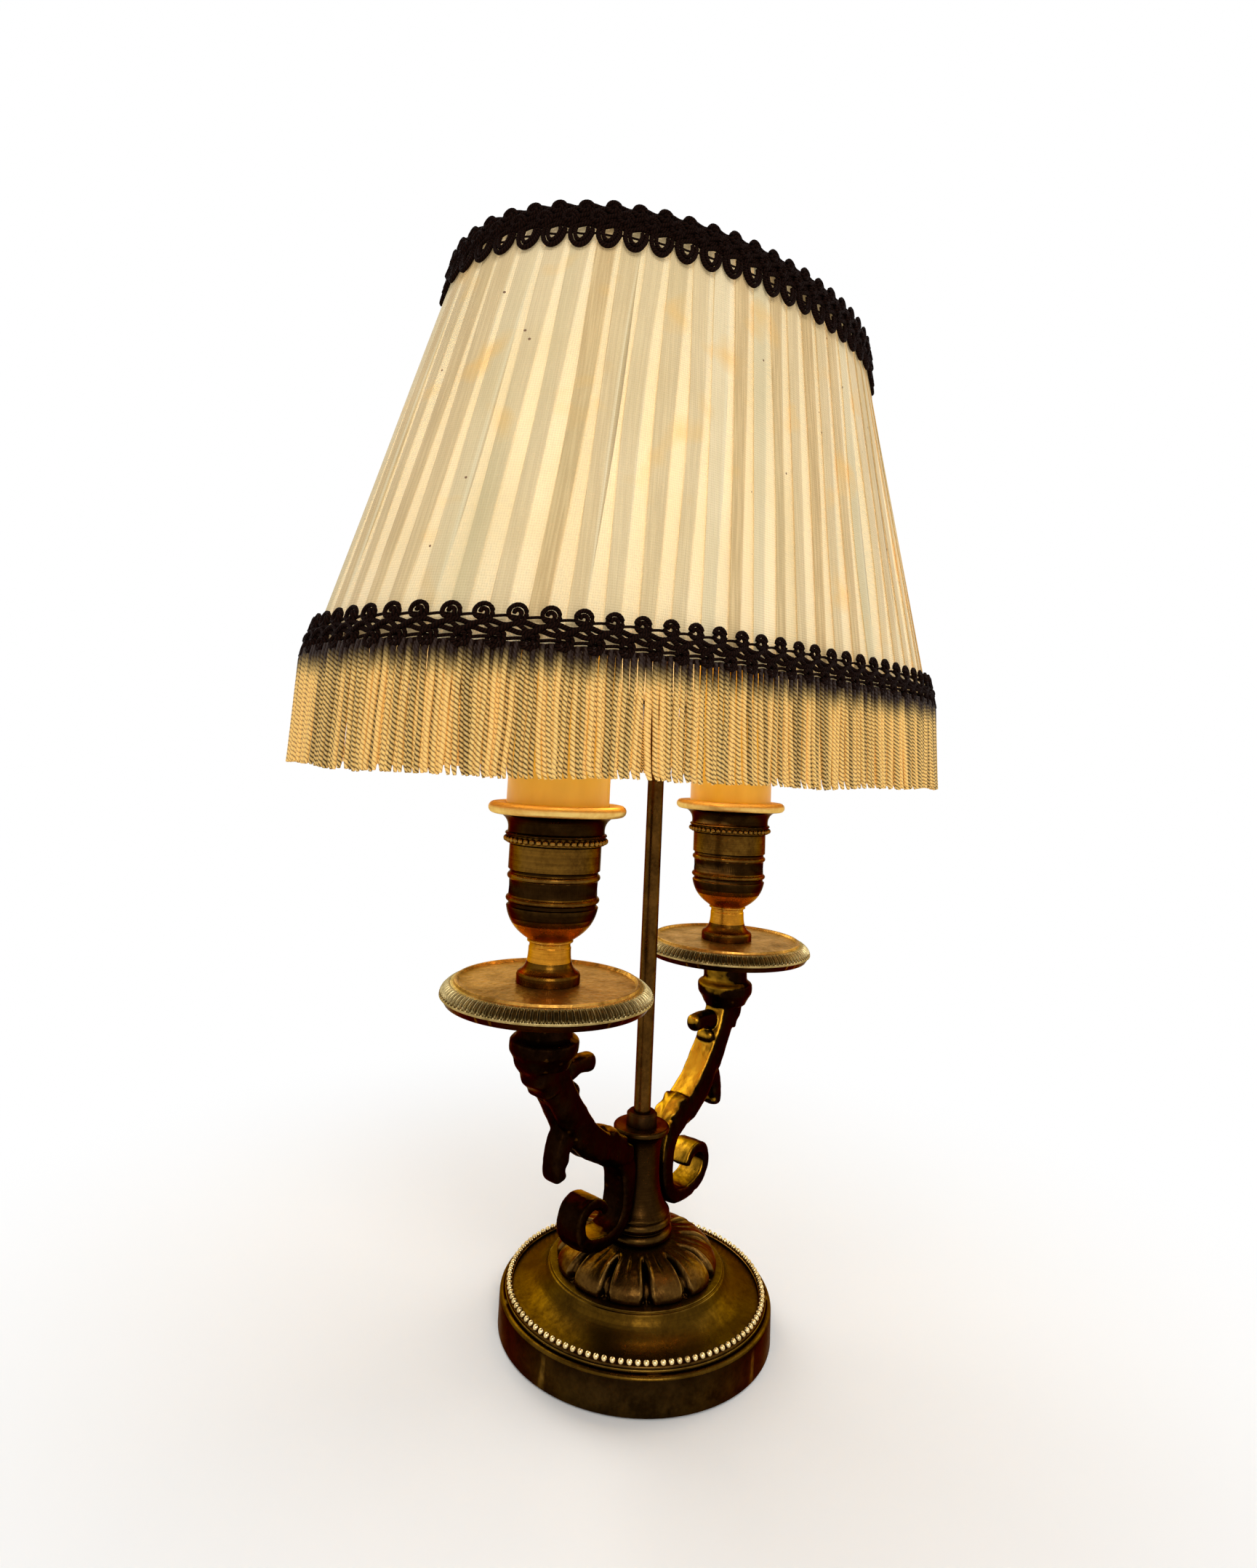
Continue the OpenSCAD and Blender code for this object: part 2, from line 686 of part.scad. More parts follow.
module shade_nut() {
    z = neck_z + hub_t + fit;
    color("#9a7430")
        tube(shade_nut_r, neck_r + fit, z, z + min(shade_nut_t, neck_h - hub_t - fit));
}

module shade_spider() {
    color("#8a6a2c")
        rotate([0, 0, shade_turn])
            difference() {
                union() {
                    translate([0, 0, neck_z])
                        cylinder(h = hub_t, r = hub_rim_r);
                    for (a = [spoke_angle, 180 - spoke_angle, 180 + spoke_angle, -spoke_angle])
                        spoke(a);
                }
                translate([0, 0, neck_z - past])
                    cylinder(h = hub_t + 2 * past, r = neck_r + fit);
                oval_wire(top_wire_z, fit);
            }
}

// A straight arm from the hub to the top wire, leaving the hub at angle a
module spoke(a) {
    t = atan2(sin(a) / shade_top_b, cos(a) / shade_top_a);
    tip = shade_point(top_wire_z, t, -wire_inset - wire_r - 0.05);
    root_r = hub_rim_r - 0.9;
    start = [root_r * cos(a), root_r * sin(a), spoke_z];
    d = tip - start;
    reach = norm(d);
    translate(start)
        rotate([0, acos(d[2] / reach), atan2(d[1], d[0])])
            cylinder(h = reach, r = spoke_r, $fn = 24);
}

// A flat wire ring that follows the shade's oval at height z, grown all round by grow
module oval_wire(z, grow = 0) {
    steps = 72;
    half = wire_r + grow;
    outer = [for (i = [0 : steps - 1]) let (p = shade_point(z, 360 * i / steps, half - wire_inset))
        [p[0], p[1]]];
    inner = [for (i = [0 : steps - 1]) let (p = shade_point(z, 360 * i / steps, -half - wire_inset))
        [p[0], p[1]]];
    translate([0, 0, z - half])
        linear_extrude(2 * half)
            difference() {
                polygon(outer);
                polygon(inner);
            }
}

module top_wire() {
    color("#7a6a4a")
        rotate([0, 0, shade_turn])
            oval_wire(top_wire_z);
}

module bottom_wire() {
    color("#7a6a4a")
        rotate([0, 0, shade_turn])
            oval_wire(bottom_wire_z);
}

module shade_ribs() {
    color("#7a6a4a")
        rotate([0, 0, shade_turn])
            for (i = [0 : ribs - 1]) {
                t = 360 * (i + 0.5) / ribs;
                low = shade_point(bottom_wire_z + wire_r, t, -wire_inset);
                high = shade_point(top_wire_z - wire_r, t, -wire_inset);
                d = high - low;
                lean = acos(d[2] / norm(d));
                short = wire_r * tan(lean) + 0.1;
                translate(low + d * short / norm(d))
                    rotate([0, lean, atan2(d[1], d[0])])
                        cylinder(h = norm(d) - 2 * short, r = wire_r * 0.9, $fn = 24);
            }
}

module shade_cover() {
    fold = [0, 0.86];
    color("#ecd9ae")
        rotate([0, 0, shade_turn])
            skinned_ring([for (i = [0 : pleats - 1], k = [0, 1]) let (
                    t = 360 * (i + fold[k]) / pleats, off = -pleat_d * k)
                [shade_point(cloth_bottom_z, t, off - cloth_t), shade_point(cloth_bottom_z, t, off),
                shade_point(cloth_top_z, t, off), shade_point(cloth_top_z, t, off - cloth_t)]]);
}

// A band of cloth that lies on the shade from z0 to z1
module braid_band(z0, z1, bulge) {
    steps = 96;
    mid = (z0 + z1) / 2;
    rotate([0, 0, shade_turn])
        skinned_ring([for (i = [0 : steps - 1]) let (t = 360 * i / steps, g = soft_gap)
            [shade_point(z0, t, g), shade_point(z0, t, g + braid_t * 0.7),
            shade_point(mid, t, g + braid_t + bulge), shade_point(z1, t, g + braid_t * 0.7),
            shade_point(z1, t, g)]]);
}

module top_braid() {
    color("#2a1a10")
        braid_band(shade_top_z - top_braid_h, shade_top_z, 0);
}

module bottom_braid() {
    color("#2a1a10")
        braid_band(shade_bottom_z, shade_bottom_z + bottom_braid_h, 0.2);
}

module fringe() {
    z1 = shade_bottom_z - soft_gap;
    z0 = shade_bottom_z - fringe_l;
    n = shade_bottom_n;
    ridge = 0.7;
    at = function (t, off, z) let (p = oval(fringe_drop_a, fringe_drop_b, n, t, off)) [p[0], p[1], z];
    color("#a9813c")
        rotate([0, 0, shade_turn])
            skinned_ring([for (i = [0 : 2 * fringe_ridges - 1]) let (
                    t = 180 * i / fringe_ridges, off = i % 2 == 0 ? ridge : 0)
                [at(t, off, z0), at(t, off + fringe_t, z0), at(t, off + fringe_t, z1), at(t, off, z1)]]);
}

base_drum();
base_felt();
ballast_disc();
base_plate();
bead_ring();
leaf_rosette();
stem_foot_ring();
stem_column();
tie_tube();
tie_washer();
tie_nut();
cord_bush();
rod_collar();
shade_rod();
finial();
arm_left();
arm_right();
drip_pan(-1);  // drip_pan_left
drip_pan(1);  // drip_pan_right
candle_cup(-1);  // candle_cup_left
candle_cup(1);  // candle_cup_right
nipple(-1);  // nipple_left
nipple(1);  // nipple_right
cup_nuts();
lampholder(-1);  // lampholder_left
lampholder(1);  // lampholder_right
sleeve(-1);  // sleeve_left
sleeve(1);  // sleeve_right
bulb_cap(-1);  // bulb_cap_left
bulb_cap(1);  // bulb_cap_right
bulb_glass(-1);  // bulb_glass_left
bulb_glass(1);  // bulb_glass_right
shade_carrier();
thumb_screw();
shade_nut();
shade_spider();
top_wire();
bottom_wire();
shade_ribs();
shade_cover();
top_braid();
bottom_braid();
fringe();
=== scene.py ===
import math

import bmesh
import bpy
import numpy as np
from mathutils import Matrix, Vector


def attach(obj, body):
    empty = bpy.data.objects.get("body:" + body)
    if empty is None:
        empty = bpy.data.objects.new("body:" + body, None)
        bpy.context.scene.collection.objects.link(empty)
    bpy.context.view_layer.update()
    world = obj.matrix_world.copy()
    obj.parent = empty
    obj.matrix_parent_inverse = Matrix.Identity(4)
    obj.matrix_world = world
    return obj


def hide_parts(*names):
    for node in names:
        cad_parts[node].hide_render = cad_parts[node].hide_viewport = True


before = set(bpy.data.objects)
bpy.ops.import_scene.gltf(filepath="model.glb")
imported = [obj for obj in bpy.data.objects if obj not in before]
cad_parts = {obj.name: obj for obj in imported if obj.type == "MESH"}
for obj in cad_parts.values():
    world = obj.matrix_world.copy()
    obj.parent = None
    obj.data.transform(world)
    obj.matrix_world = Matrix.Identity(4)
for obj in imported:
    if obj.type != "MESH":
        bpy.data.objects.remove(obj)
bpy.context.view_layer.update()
MM = 0.001
TAU = 2 * math.pi
random = np.random.default_rng(7)

# Camera, fitted to the photograph: the place in metres, the turns in degrees, the rest in its pixels
EYE = (-0.26918, -0.19722, 0.19115)
YAW, PITCH, ROLL = 38.987, 8.251, 2.793
FOCAL_PX, CENTRE_X_PX, CENTRE_Y_PX = 1205.8, 853.3, 868.5
IMAGE_W_PX, IMAGE_H_PX = 1729, 2156
SENSOR_MM = 36.0

bpy.ops.object.camera_add()
camera = bpy.context.object
bpy.context.scene.camera = camera
yaw, pitch, roll = (math.radians(turn) for turn in (YAW, PITCH, ROLL))
ahead = Vector((math.cos(yaw) * math.cos(pitch), math.sin(yaw) * math.cos(pitch), math.sin(pitch)))
level = Vector((math.sin(yaw), -math.cos(yaw), 0))
right = math.cos(roll) * level + math.sin(roll) * level.cross(ahead)
turned_to = Matrix((right, right.cross(ahead), -ahead)).transposed()
camera.matrix_world = Matrix.Translation(EYE) @ turned_to.to_4x4()
camera.data.sensor_width = SENSOR_MM
camera.data.lens = FOCAL_PX * SENSOR_MM / IMAGE_H_PX
camera.data.shift_x = (IMAGE_W_PX / 2 - CENTRE_X_PX) / IMAGE_H_PX
camera.data.shift_y = (CENTRE_Y_PX - IMAGE_H_PX / 2) / IMAGE_H_PX
camera.data.clip_start = 0.01


# Materials

def linear(colour):
    """An sRGB hex colour as a linear one."""
    parts = [int(colour[i:i + 2], 16) / 255 for i in (1, 3, 5)]
    return (*(p / 12.92 if p <= 0.04045 else ((p + 0.055) / 1.055) ** 2.4 for p in parts), 1.0)


def add(tree, kind, inputs=None, **settings):
    """Adds a node. inputs gives sockets by name or number: a value, a hex colour, an output to link, or
    a node, whose first output in use is linked."""
    node = tree.nodes.new(kind)
    for key, value in settings.items():
        setattr(node, key, value)
    for key, value in (inputs or {}).items():
        if isinstance(value, bpy.types.Node):
            value = next(out for out in value.outputs if out.enabled)
        if isinstance(value, bpy.types.NodeSocket):
            tree.links.new(value, node.inputs[key])
        else:
            node.inputs[key].default_value = linear(value) if isinstance(value, str) else value
    return node


def new_material(name):
    """An empty material, its tree and its Object coordinates."""
    material = bpy.data.materials.new(name)
    material.use_nodes = True
    material.node_tree.nodes.clear()
    return material, material.node_tree, add(material.node_tree, "ShaderNodeTexCoord").outputs["Object"]


def aged_brass(name, dark, gold, worn, rough, mottle=0.6, dirt_and_shade=0.7, turning_mm=0.0, cast_mm=0.0, bright=None,
               hollow_mm=5.0, glance="#C09A68"):
    """Brass that was lacquered or gilt long ago. Brown patina drifts over it in patches of a centimetre,
    spots of a millimetre pit it, its hollows are darkened by dirt and by painted shade, and handling has rubbed its
    edges bright.
    turning_mm is the spacing of the lathe's fine rings and cast_mm the size of a sand casting's lumps.
    bright is a painted highlight on the sides that look up and in to the stem, where the bulbs' light falls.
    hollow_mm is how wide a hollow still gets this dark. glance tints what the old lacquer mirrors at a low angle."""
    material, tree, place = new_material(name)
    drift = add(tree, "ShaderNodeTexNoise", {"Vector": place, "Scale": 1 / (9 * MM), "Detail": 5.0,
                "Roughness": 0.6, "Distortion": 0.4})
    spots = add(tree, "ShaderNodeTexNoise", {"Vector": place, "Scale": 1 / (1.3 * MM), "Detail": 4.0,
                "Roughness": 0.65})
    tone = add(tree, "ShaderNodeMath", {0: drift, 1: 0.65}, operation="MULTIPLY")
    tone = add(tree, "ShaderNodeMath", {0: spots, 1: 0.35, 2: tone}, operation="MULTIPLY_ADD")
    share = add(tree, "ShaderNodeMapRange", {"Value": tone, "From Min": 0.38, "From Max": 0.62,
                "To Min": 0.5 - mottle / 2, "To Max": 0.5 + mottle / 2})
    colour = add(tree, "ShaderNodeMix", {0: share, 6: dark, 7: gold}, data_type="RGBA")
    # Painted highlight: the sides that face up and in to the stem turn to the bright colour, where the bulbs' light
    # falls.
    if bright:
        side = add(tree, "ShaderNodeSeparateXYZ", {0: add(tree, "ShaderNodeTexCoord").outputs["Normal"]})
        spot = add(tree, "ShaderNodeSeparateXYZ", {0: place})
        sign = add(tree, "ShaderNodeMath", {0: spot.outputs[0]}, operation="SIGN")
        inward = add(tree, "ShaderNodeMath", {0: side.outputs[0], 1: sign}, operation="MULTIPLY")
        facing = add(tree, "ShaderNodeMath", {0: side.outputs[2], 1: inward}, operation="SUBTRACT")
        facing = add(tree, "ShaderNodeMath", {0: drift, 1: 0.8, 2: facing}, operation="MULTIPLY_ADD")
        painted_top_light = add(tree, "ShaderNodeMapRange", {"Value": facing, "From Min": 1.25, "From Max": 1.75})
        colour = add(tree, "ShaderNodeMix", {0: painted_top_light, 6: colour, 7: bright}, data_type="RGBA")
    edge = add(tree, "ShaderNodeNewGeometry").outputs["Pointiness"]
    rubbed = add(tree, "ShaderNodeMapRange", {"Value": edge, "From Min": 0.51, "From Max": 0.58,
                 "To Max": 0.85})
    rubbed = add(tree, "ShaderNodeMath", {0: rubbed, 1: share}, operation="MULTIPLY")
    colour = add(tree, "ShaderNodeMix", {0: rubbed, 6: colour, 7: worn}, data_type="RGBA")
    # Hollows darken towards near-black: partly dirt, partly painted shade.
    open_air = add(tree, "ShaderNodeAmbientOcclusion", {"Distance": hollow_mm * MM}, samples=8).outputs["AO"]
    hollow_dark_share = add(tree, "ShaderNodeMapRange", {"Value": open_air, "From Min": 0.35, "From Max": 0.9,
                "To Min": dirt_and_shade, "To Max": 0.0})
    colour = add(tree, "ShaderNodeMix", {0: hollow_dark_share, 6: colour, 7: "#0F0702"}, data_type="RGBA")
    height = tone
    if turning_mm:
        rings = add(tree, "ShaderNodeMapping", {"Vector": place,
                    "Scale": (1 / (50 * MM), 1 / (50 * MM), 1 / (turning_mm * MM))})
        rings = add(tree, "ShaderNodeTexNoise", {"Vector": rings, "Scale": 1.0, "Detail": 2.0})
        cut = add(tree, "ShaderNodeMapRange", {"Value": rings, "From Min": 0.35, "From Max": 0.75,
                  "To Max": 0.5})
        colour = add(tree, "ShaderNodeMix", {0: cut, 6: colour, 7: dark}, data_type="RGBA")
        height = add(tree, "ShaderNodeMath", {0: rings, 1: 0.5, 2: tone}, operation="MULTIPLY_ADD")
    if cast_mm:
        lumps = add(tree, "ShaderNodeTexNoise", {"Vector": place, "Scale": 1 / (cast_mm * MM), "Detail": 3.0})
        height = add(tree, "ShaderNodeMath", {0: lumps, 1: 2.0, 2: tone}, operation="MULTIPLY_ADD")
    roughness = add(tree, "ShaderNodeMapRange", {"Value": tone, "From Min": 0.35, "From Max": 0.65,
                    "To Min": rough + 0.12, "To Max": rough - 0.05})
    bump = add(tree, "ShaderNodeBump", {"Height": height, "Distance": 0.25 * MM, "Strength": 0.45})
    metal = add(tree, "ShaderNodeBsdfPrincipled", {"Base Color": colour, "Metallic": 1.0,
                "Roughness": roughness, "Specular Tint": glance, "Normal": bump})
    add(tree, "ShaderNodeOutputMaterial", {"Surface": metal})
    return material


def two_tone(name, dark, light, rough, grain_mm, depth_mm, metallic=0.0, sheen=0.0):
    """A plain finish with a grain: the grain's low places are dark, and the light catches its high ones."""
    material, tree, place = new_material(name)
    grain = add(tree, "ShaderNodeTexNoise", {"Vector": place, "Scale": 1 / (grain_mm * MM), "Detail": 4.0,
                "Roughness": 0.6})
    share = add(tree, "ShaderNodeMapRange", {"Value": grain, "From Min": 0.3, "From Max": 0.7})
    colour = add(tree, "ShaderNodeMix", {0: share, 6: dark, 7: light}, data_type="RGBA")
    roughness = add(tree, "ShaderNodeMapRange", {"Value": grain, "To Min": rough - 0.1,
                    "To Max": rough + 0.1})
    bump = add(tree, "ShaderNodeBump", {"Height": grain, "Distance": depth_mm * MM})
    finish = add(tree, "ShaderNodeBsdfPrincipled", {"Base Color": colour, "Metallic": metallic,
                 "Roughness": roughness, "Sheen Weight": sheen, "Normal": bump})
    add(tree, "ShaderNodeOutputMaterial", {"Surface": finish})
    return material


def waxed_card(name):
    """A candle tube of card dipped in wax: amber, a little glossy, with soft drips, and a painted glow
    that stands for the light inside it."""
    material, tree, place = new_material(name)
    drips = add(tree, "ShaderNodeMapping", {"Vector": place,
                "Scale": (1 / (9 * MM), 1 / (9 * MM), 1 / (20 * MM))})
    drips = add(tree, "ShaderNodeTexNoise", {"Vector": drips, "Scale": 1.0, "Detail": 3.0})
    share = add(tree, "ShaderNodeMapRange", {"Value": drips, "From Min": 0.3, "From Max": 0.7})
    colour = add(tree, "ShaderNodeMix", {0: share, 6: "#CE9828", 7: "#DFAE3C"}, data_type="RGBA")
    bump = add(tree, "ShaderNodeBump", {"Height": drips, "Distance": 0.4 * MM, "Strength": 0.5})
    # Painted glow: the wax gives off a little amber light of its own.
    wax = add(tree, "ShaderNodeBsdfPrincipled", {"Base Color": colour, "Roughness": 0.42, "IOR": 1.44,
              "Subsurface Weight": 0.3, "Subsurface Radius": (4 * MM, 2 * MM, 0.8 * MM),
              "Subsurface Scale": 1.0, "Emission Color": "#D29A1C", "Emission Strength": 0.26,
              "Normal": bump})
    add(tree, "ShaderNodeOutputMaterial", {"Surface": wax})
    return material


BULB_GLOW = 11.0


def lit_frosted_glass(name):
    """A candle bulb's frosted glass with its filament lit: warm and bright all over, softly mottled."""
    material, tree, place = new_material(name)
    frost = add(tree, "ShaderNodeTexNoise", {"Vector": place, "Scale": 1 / (0.7 * MM), "Detail": 3.0})
    colour = add(tree, "ShaderNodeMix", {0: frost, 6: "#FFE9C4", 7: "#FFF4DC"}, data_type="RGBA")
    bump = add(tree, "ShaderNodeBump", {"Height": frost, "Distance": 0.05 * MM})
    glass = add(tree, "ShaderNodeBsdfPrincipled", {"Base Color": colour, "Roughness": 0.35, "IOR": 1.5,
                "Emission Color": "#FFD496", "Emission Strength": BULB_GLOW, "Normal": bump})
    add(tree, "ShaderNodeOutputMaterial", {"Surface": glass})
    return material


PLEAT_W_MM = 20.6
CLOTH_H_MM = 147.5


def pleated_gauze(name):
    """Cream cotton gauze in knife pleats. One layer lets the light through and shows its weave; where a
    pleat lies three layers deep its colour is painted tan, as shade, with the wavy upright lines of threads that
    overlap. Soft upright patches of painted shade lie on the folds, and the cloth has a painted glow for the bulbs'
    light. Age has left rust specks and a few yellow stains, and no two pleats have the same tone. The threads are
    drawn 0.7 mm apart so that they show."""
    material, tree, place = new_material(name)
    cloth = add(tree, "ShaderNodeUVMap", uv_map="cloth")
    across = add(tree, "ShaderNodeSeparateXYZ", {0: cloth}).outputs[0]
    up = add(tree, "ShaderNodeSeparateXYZ", {0: cloth}).outputs[1]
    turns = add(tree, "ShaderNodeMath", {0: across, 1: 1 / (PLEAT_W_MM * MM)}, operation="MULTIPLY")
    part = add(tree, "ShaderNodeMath", {0: turns, 1: 1.0}, operation="MODULO")
    start = add(tree, "ShaderNodeMath", {0: up, 1: -0.128 / (CLOTH_H_MM * MM), 2: 0.5},
                operation="MULTIPLY_ADD")
    deep = add(tree, "ShaderNodeMath", {0: part, 1: start}, operation="SUBTRACT")
    own = add(tree, "ShaderNodeMath", {0: turns}, operation="FLOOR")
    own = add(tree, "ShaderNodeTexWhiteNoise", {"W": own}, noise_dimensions="1D").outputs["Value"]
    most = add(tree, "ShaderNodeMapRange", {"Value": own, "To Min": 0.25, "To Max": 1.0})
    deep = add(tree, "ShaderNodeMapRange", {"Value": deep, "From Min": -0.015, "From Max": 0.03})
    deep = add(tree, "ShaderNodeMath", {0: deep, 1: most}, operation="MULTIPLY")
    warp = add(tree, "ShaderNodeMath", {0: across, 1: TAU / (0.7 * MM)}, operation="MULTIPLY")
    warp = add(tree, "ShaderNodeMath", {0: warp}, operation="SINE")
    weft = add(tree, "ShaderNodeMath", {0: up, 1: TAU / (0.8 * MM)}, operation="MULTIPLY")
    weft = add(tree, "ShaderNodeMath", {0: weft}, operation="SINE")
    weave = add(tree, "ShaderNodeMath", {0: warp, 1: weft}, operation="ADD")
    lines = add(tree, "ShaderNodeMapping", {"Vector": cloth, "Scale": (1 / (0.8 * MM), 1 / (28 * MM), 1.0)})
    lines = add(tree, "ShaderNodeTexNoise", {"Vector": lines, "Scale": 1.0, "Detail": 2.0, "Distortion": 0.3})
    drift = add(tree, "ShaderNodeTexNoise", {"Vector": place, "Scale": 1 / (33 * MM), "Detail": 3.0})
    single = add(tree, "ShaderNodeMix", {0: drift, 6: "#DDCC9E", 7: "#EFE2C2"}, data_type="RGBA")
    triple = add(tree, "ShaderNodeMix", {0: drift, 6: "#C8A971", 7: "#DDC28D"}, data_type="RGBA")
    thread = add(tree, "ShaderNodeMapRange", {"Value": weave, "From Min": -1.6, "From Max": 0.6,
                 "To Min": 0.35, "To Max": 0.0})
    single = add(tree, "ShaderNodeMix", {0: thread, 6: single, 7: "#BFAE7C"}, data_type="RGBA")
    streak = add(tree, "ShaderNodeMapRange", {"Value": lines, "From Min": 0.42, "From Max": 0.62,
                 "To Min": 0.45, "To Max": 0.0})
    triple = add(tree, "ShaderNodeMix", {0: streak, 6: triple, 7: "#A5834E"}, data_type="RGBA")
    single = add(tree, "ShaderNodeMix", {0: add(tree, "ShaderNodeMath", {0: own, 1: 0.3}, operation="MULTIPLY"),
                 6: single, 7: "#CDB580"}, data_type="RGBA")
    # Painted shade: where three layers lie, the colour turns tan.
    colour = add(tree, "ShaderNodeMix", {0: deep, 6: single, 7: triple}, data_type="RGBA")
    # Painted shade: soft upright grey-green patches, as the shadows of folds.
    painted_fold_shade = add(tree, "ShaderNodeMapping", {"Vector": cloth,
                "Scale": (1 / (31 * MM), 1 / (160 * MM), 1.0)})
    painted_fold_shade = add(tree, "ShaderNodeTexNoise", {"Vector": painted_fold_shade, "Scale": 1.0, "Detail": 1.0})
    painted_fold_shade = add(tree, "ShaderNodeMapRange", {"Value": painted_fold_shade, "From Min": 0.52, "From Max": 0.72,
                "To Max": 0.4})
    colour = add(tree, "ShaderNodeMix", {0: painted_fold_shade, 6: colour, 7: "#B5A97C"}, data_type="RGBA")
    patch = add(tree, "ShaderNodeTexNoise", {"Vector": place, "Scale": 1 / (21 * MM), "Detail": 2.0})
    patch = add(tree, "ShaderNodeMapRange", {"Value": patch, "From Min": 0.6, "From Max": 0.78,
                "To Max": 0.6})
    colour = add(tree, "ShaderNodeMix", {0: patch, 6: colour, 7: "#E5B65C"}, data_type="RGBA")
    cells = add(tree, "ShaderNodeTexVoronoi", {"Vector": place, "Scale": 1 / (7.5 * MM)})
    rare = add(tree, "ShaderNodeSeparateColor", {0: cells.outputs["Color"]})
    size = add(tree, "ShaderNodeMapRange", {"Value": rare, "From Min": 0.35, "From Max": 1.0,
               "To Max": 0.075})
    speck = add(tree, "ShaderNodeMath", {0: cells.outputs["Distance"], 1: size}, operation="LESS_THAN")
    speck = add(tree, "ShaderNodeMath", {0: speck, 1: 0.85}, operation="MULTIPLY")
    colour = add(tree, "ShaderNodeMix", {0: speck, 6: colour, 7: "#5A2E12"}, data_type="RGBA")
    relief = add(tree, "ShaderNodeMath", {0: lines, 1: 2.0, 2: weave}, operation="MULTIPLY_ADD")
    bump = add(tree, "ShaderNodeBump", {"Height": relief, "Distance": 0.08 * MM, "Strength": 0.6})
    # Painted glow: the face also gives off light of its own colour, for the bulbs' light coming through.
    face = add(tree, "ShaderNodeBsdfPrincipled", {"Base Color": colour, "Roughness": 0.85,
               "Sheen Weight": 0.1, "Emission Color": colour, "Emission Strength": 0.26, "Normal": bump})
    through = add(tree, "ShaderNodeBsdfTranslucent", {"Color": colour, "Normal": bump})
    gauze_cloth = add(tree, "ShaderNodeMixShader", {0: 0.16, 1: face, 2: through})
    add(tree, "ShaderNodeOutputMaterial", {"Surface": gauze_cloth})
    return material


def twisted_yarn(name, groove, crown, lay_mm, rough, painted_top_shadow=None, through=0.0, gloss=0.3, glow=0.0):
    """Yarn plied into cord: crowns painted light and grooves painted dark, as the twist's highlight and shade, run
    round it in helices, lay_mm apart.
    head is a colour and a length: a painted shadow of the gimp darkens the first millimetres.
    through is the share of light that passes, and glow is a painted glow for the warm light that the bulbs send
    through its loose threads.
    The whole part of a cord's first coordinate, 0 to 7, tells how pale it is."""
    material, tree, place = new_material(name)
    uv = add(tree, "ShaderNodeSeparateXYZ", {0: add(tree, "ShaderNodeUVMap", uv_map="cord")})
    turn = add(tree, "ShaderNodeMath", {0: uv.outputs[0], 1: TAU}, operation="MULTIPLY")
    turn = add(tree, "ShaderNodeMath", {0: uv.outputs[1], 1: TAU / (2 * lay_mm * MM), 2: turn},
               operation="MULTIPLY_ADD")
    ply = add(tree, "ShaderNodeMath", {0: turn}, operation="SINE")
    ply = add(tree, "ShaderNodeMath", {0: ply}, operation="ABSOLUTE")
    fibre = add(tree, "ShaderNodeTexNoise", {"Vector": place, "Scale": 1 / (0.33 * MM), "Detail": 3.0})
    tone = add(tree, "ShaderNodeMath", {0: fibre, 1: 0.4, 2: ply}, operation="MULTIPLY_ADD")
    pale = add(tree, "ShaderNodeMath", {0: uv.outputs[0]}, operation="FLOOR")
    tone = add(tree, "ShaderNodeMath", {0: pale, 1: 0.09, 2: tone}, operation="MULTIPLY_ADD")
    # Crowns are painted light and grooves dark, as the highlight and shade of the twist.
    share = add(tree, "ShaderNodeMapRange", {"Value": tone, "From Min": 0.45, "From Max": 1.45})
    colour = add(tree, "ShaderNodeMix", {0: share, 6: groove, 7: crown}, data_type="RGBA")
    # Painted shadow: the first millimetres of each cord darken, as in the gimp's shadow.
    if painted_top_shadow:
        dark, length_mm = painted_top_shadow
        near = add(tree, "ShaderNodeMapRange", {"Value": uv.outputs[1], "From Min": 0.3 * length_mm * MM,
                   "From Max": length_mm * MM, "To Min": 1.0, "To Max": 0.0}, interpolation_type="SMOOTHSTEP")
        colour = add(tree, "ShaderNodeMix", {0: near, 6: colour, 7: dark}, data_type="RGBA")
    bump = add(tree, "ShaderNodeBump", {"Height": tone, "Distance": 0.4 * MM, "Strength": 0.8})
    # glow is a painted glow: the yarn gives off light of its own colour.
    yarn = add(tree, "ShaderNodeBsdfPrincipled", {"Base Color": colour, "Roughness": rough,
               "Specular IOR Level": gloss, "Emission Color": colour, "Emission Strength": glow,
               "Normal": bump})
    if through:
        lit = add(tree, "ShaderNodeBsdfTranslucent", {"Color": colour})
        yarn = add(tree, "ShaderNodeMixShader", {0: through, 1: yarn, 2: lit})
    add(tree, "ShaderNodeOutputMaterial", {"Surface": yarn})
    return material


spun_brass = aged_brass("spun_lacquered_brass", "#2A1A04", "#573C0C", "#A9843A", 0.27, 0.7, 0.5, turning_mm=0.7,
                        glance="#D4BA92")
rolled_brass = aged_brass("rolled_brass_wall", "#0C0401", "#1B0D04", "#A8803E", 0.36, 0.6)
# The beads' pale gold is partly a painted highlight.
stamped_brass = aged_brass("stamped_brass_beads", "#8A6A30", "#DDBB74", "#FFEBB8", 0.2, 0.6, 0.6)
cast_gilt = aged_brass("cast_gilt_brass", "#271405", "#5F421A", "#B58A46", 0.3, 0.7, 0.8, cast_mm=2.5)
# Its bright colour is a painted highlight on the casting's sides that face up and in.
dark_casting = aged_brass("dark_gilt_casting", "#070200", "#1A0C04", "#4F3112", 0.33, 0.8, 0.8, cast_mm=4.0,
                          bright="#C68E22")
turned_brass = aged_brass("turned_gilt_brass", "#2E1805", "#6E4A12", "#C89848", 0.25, 0.6, 0.8,
                          turning_mm=0.4)
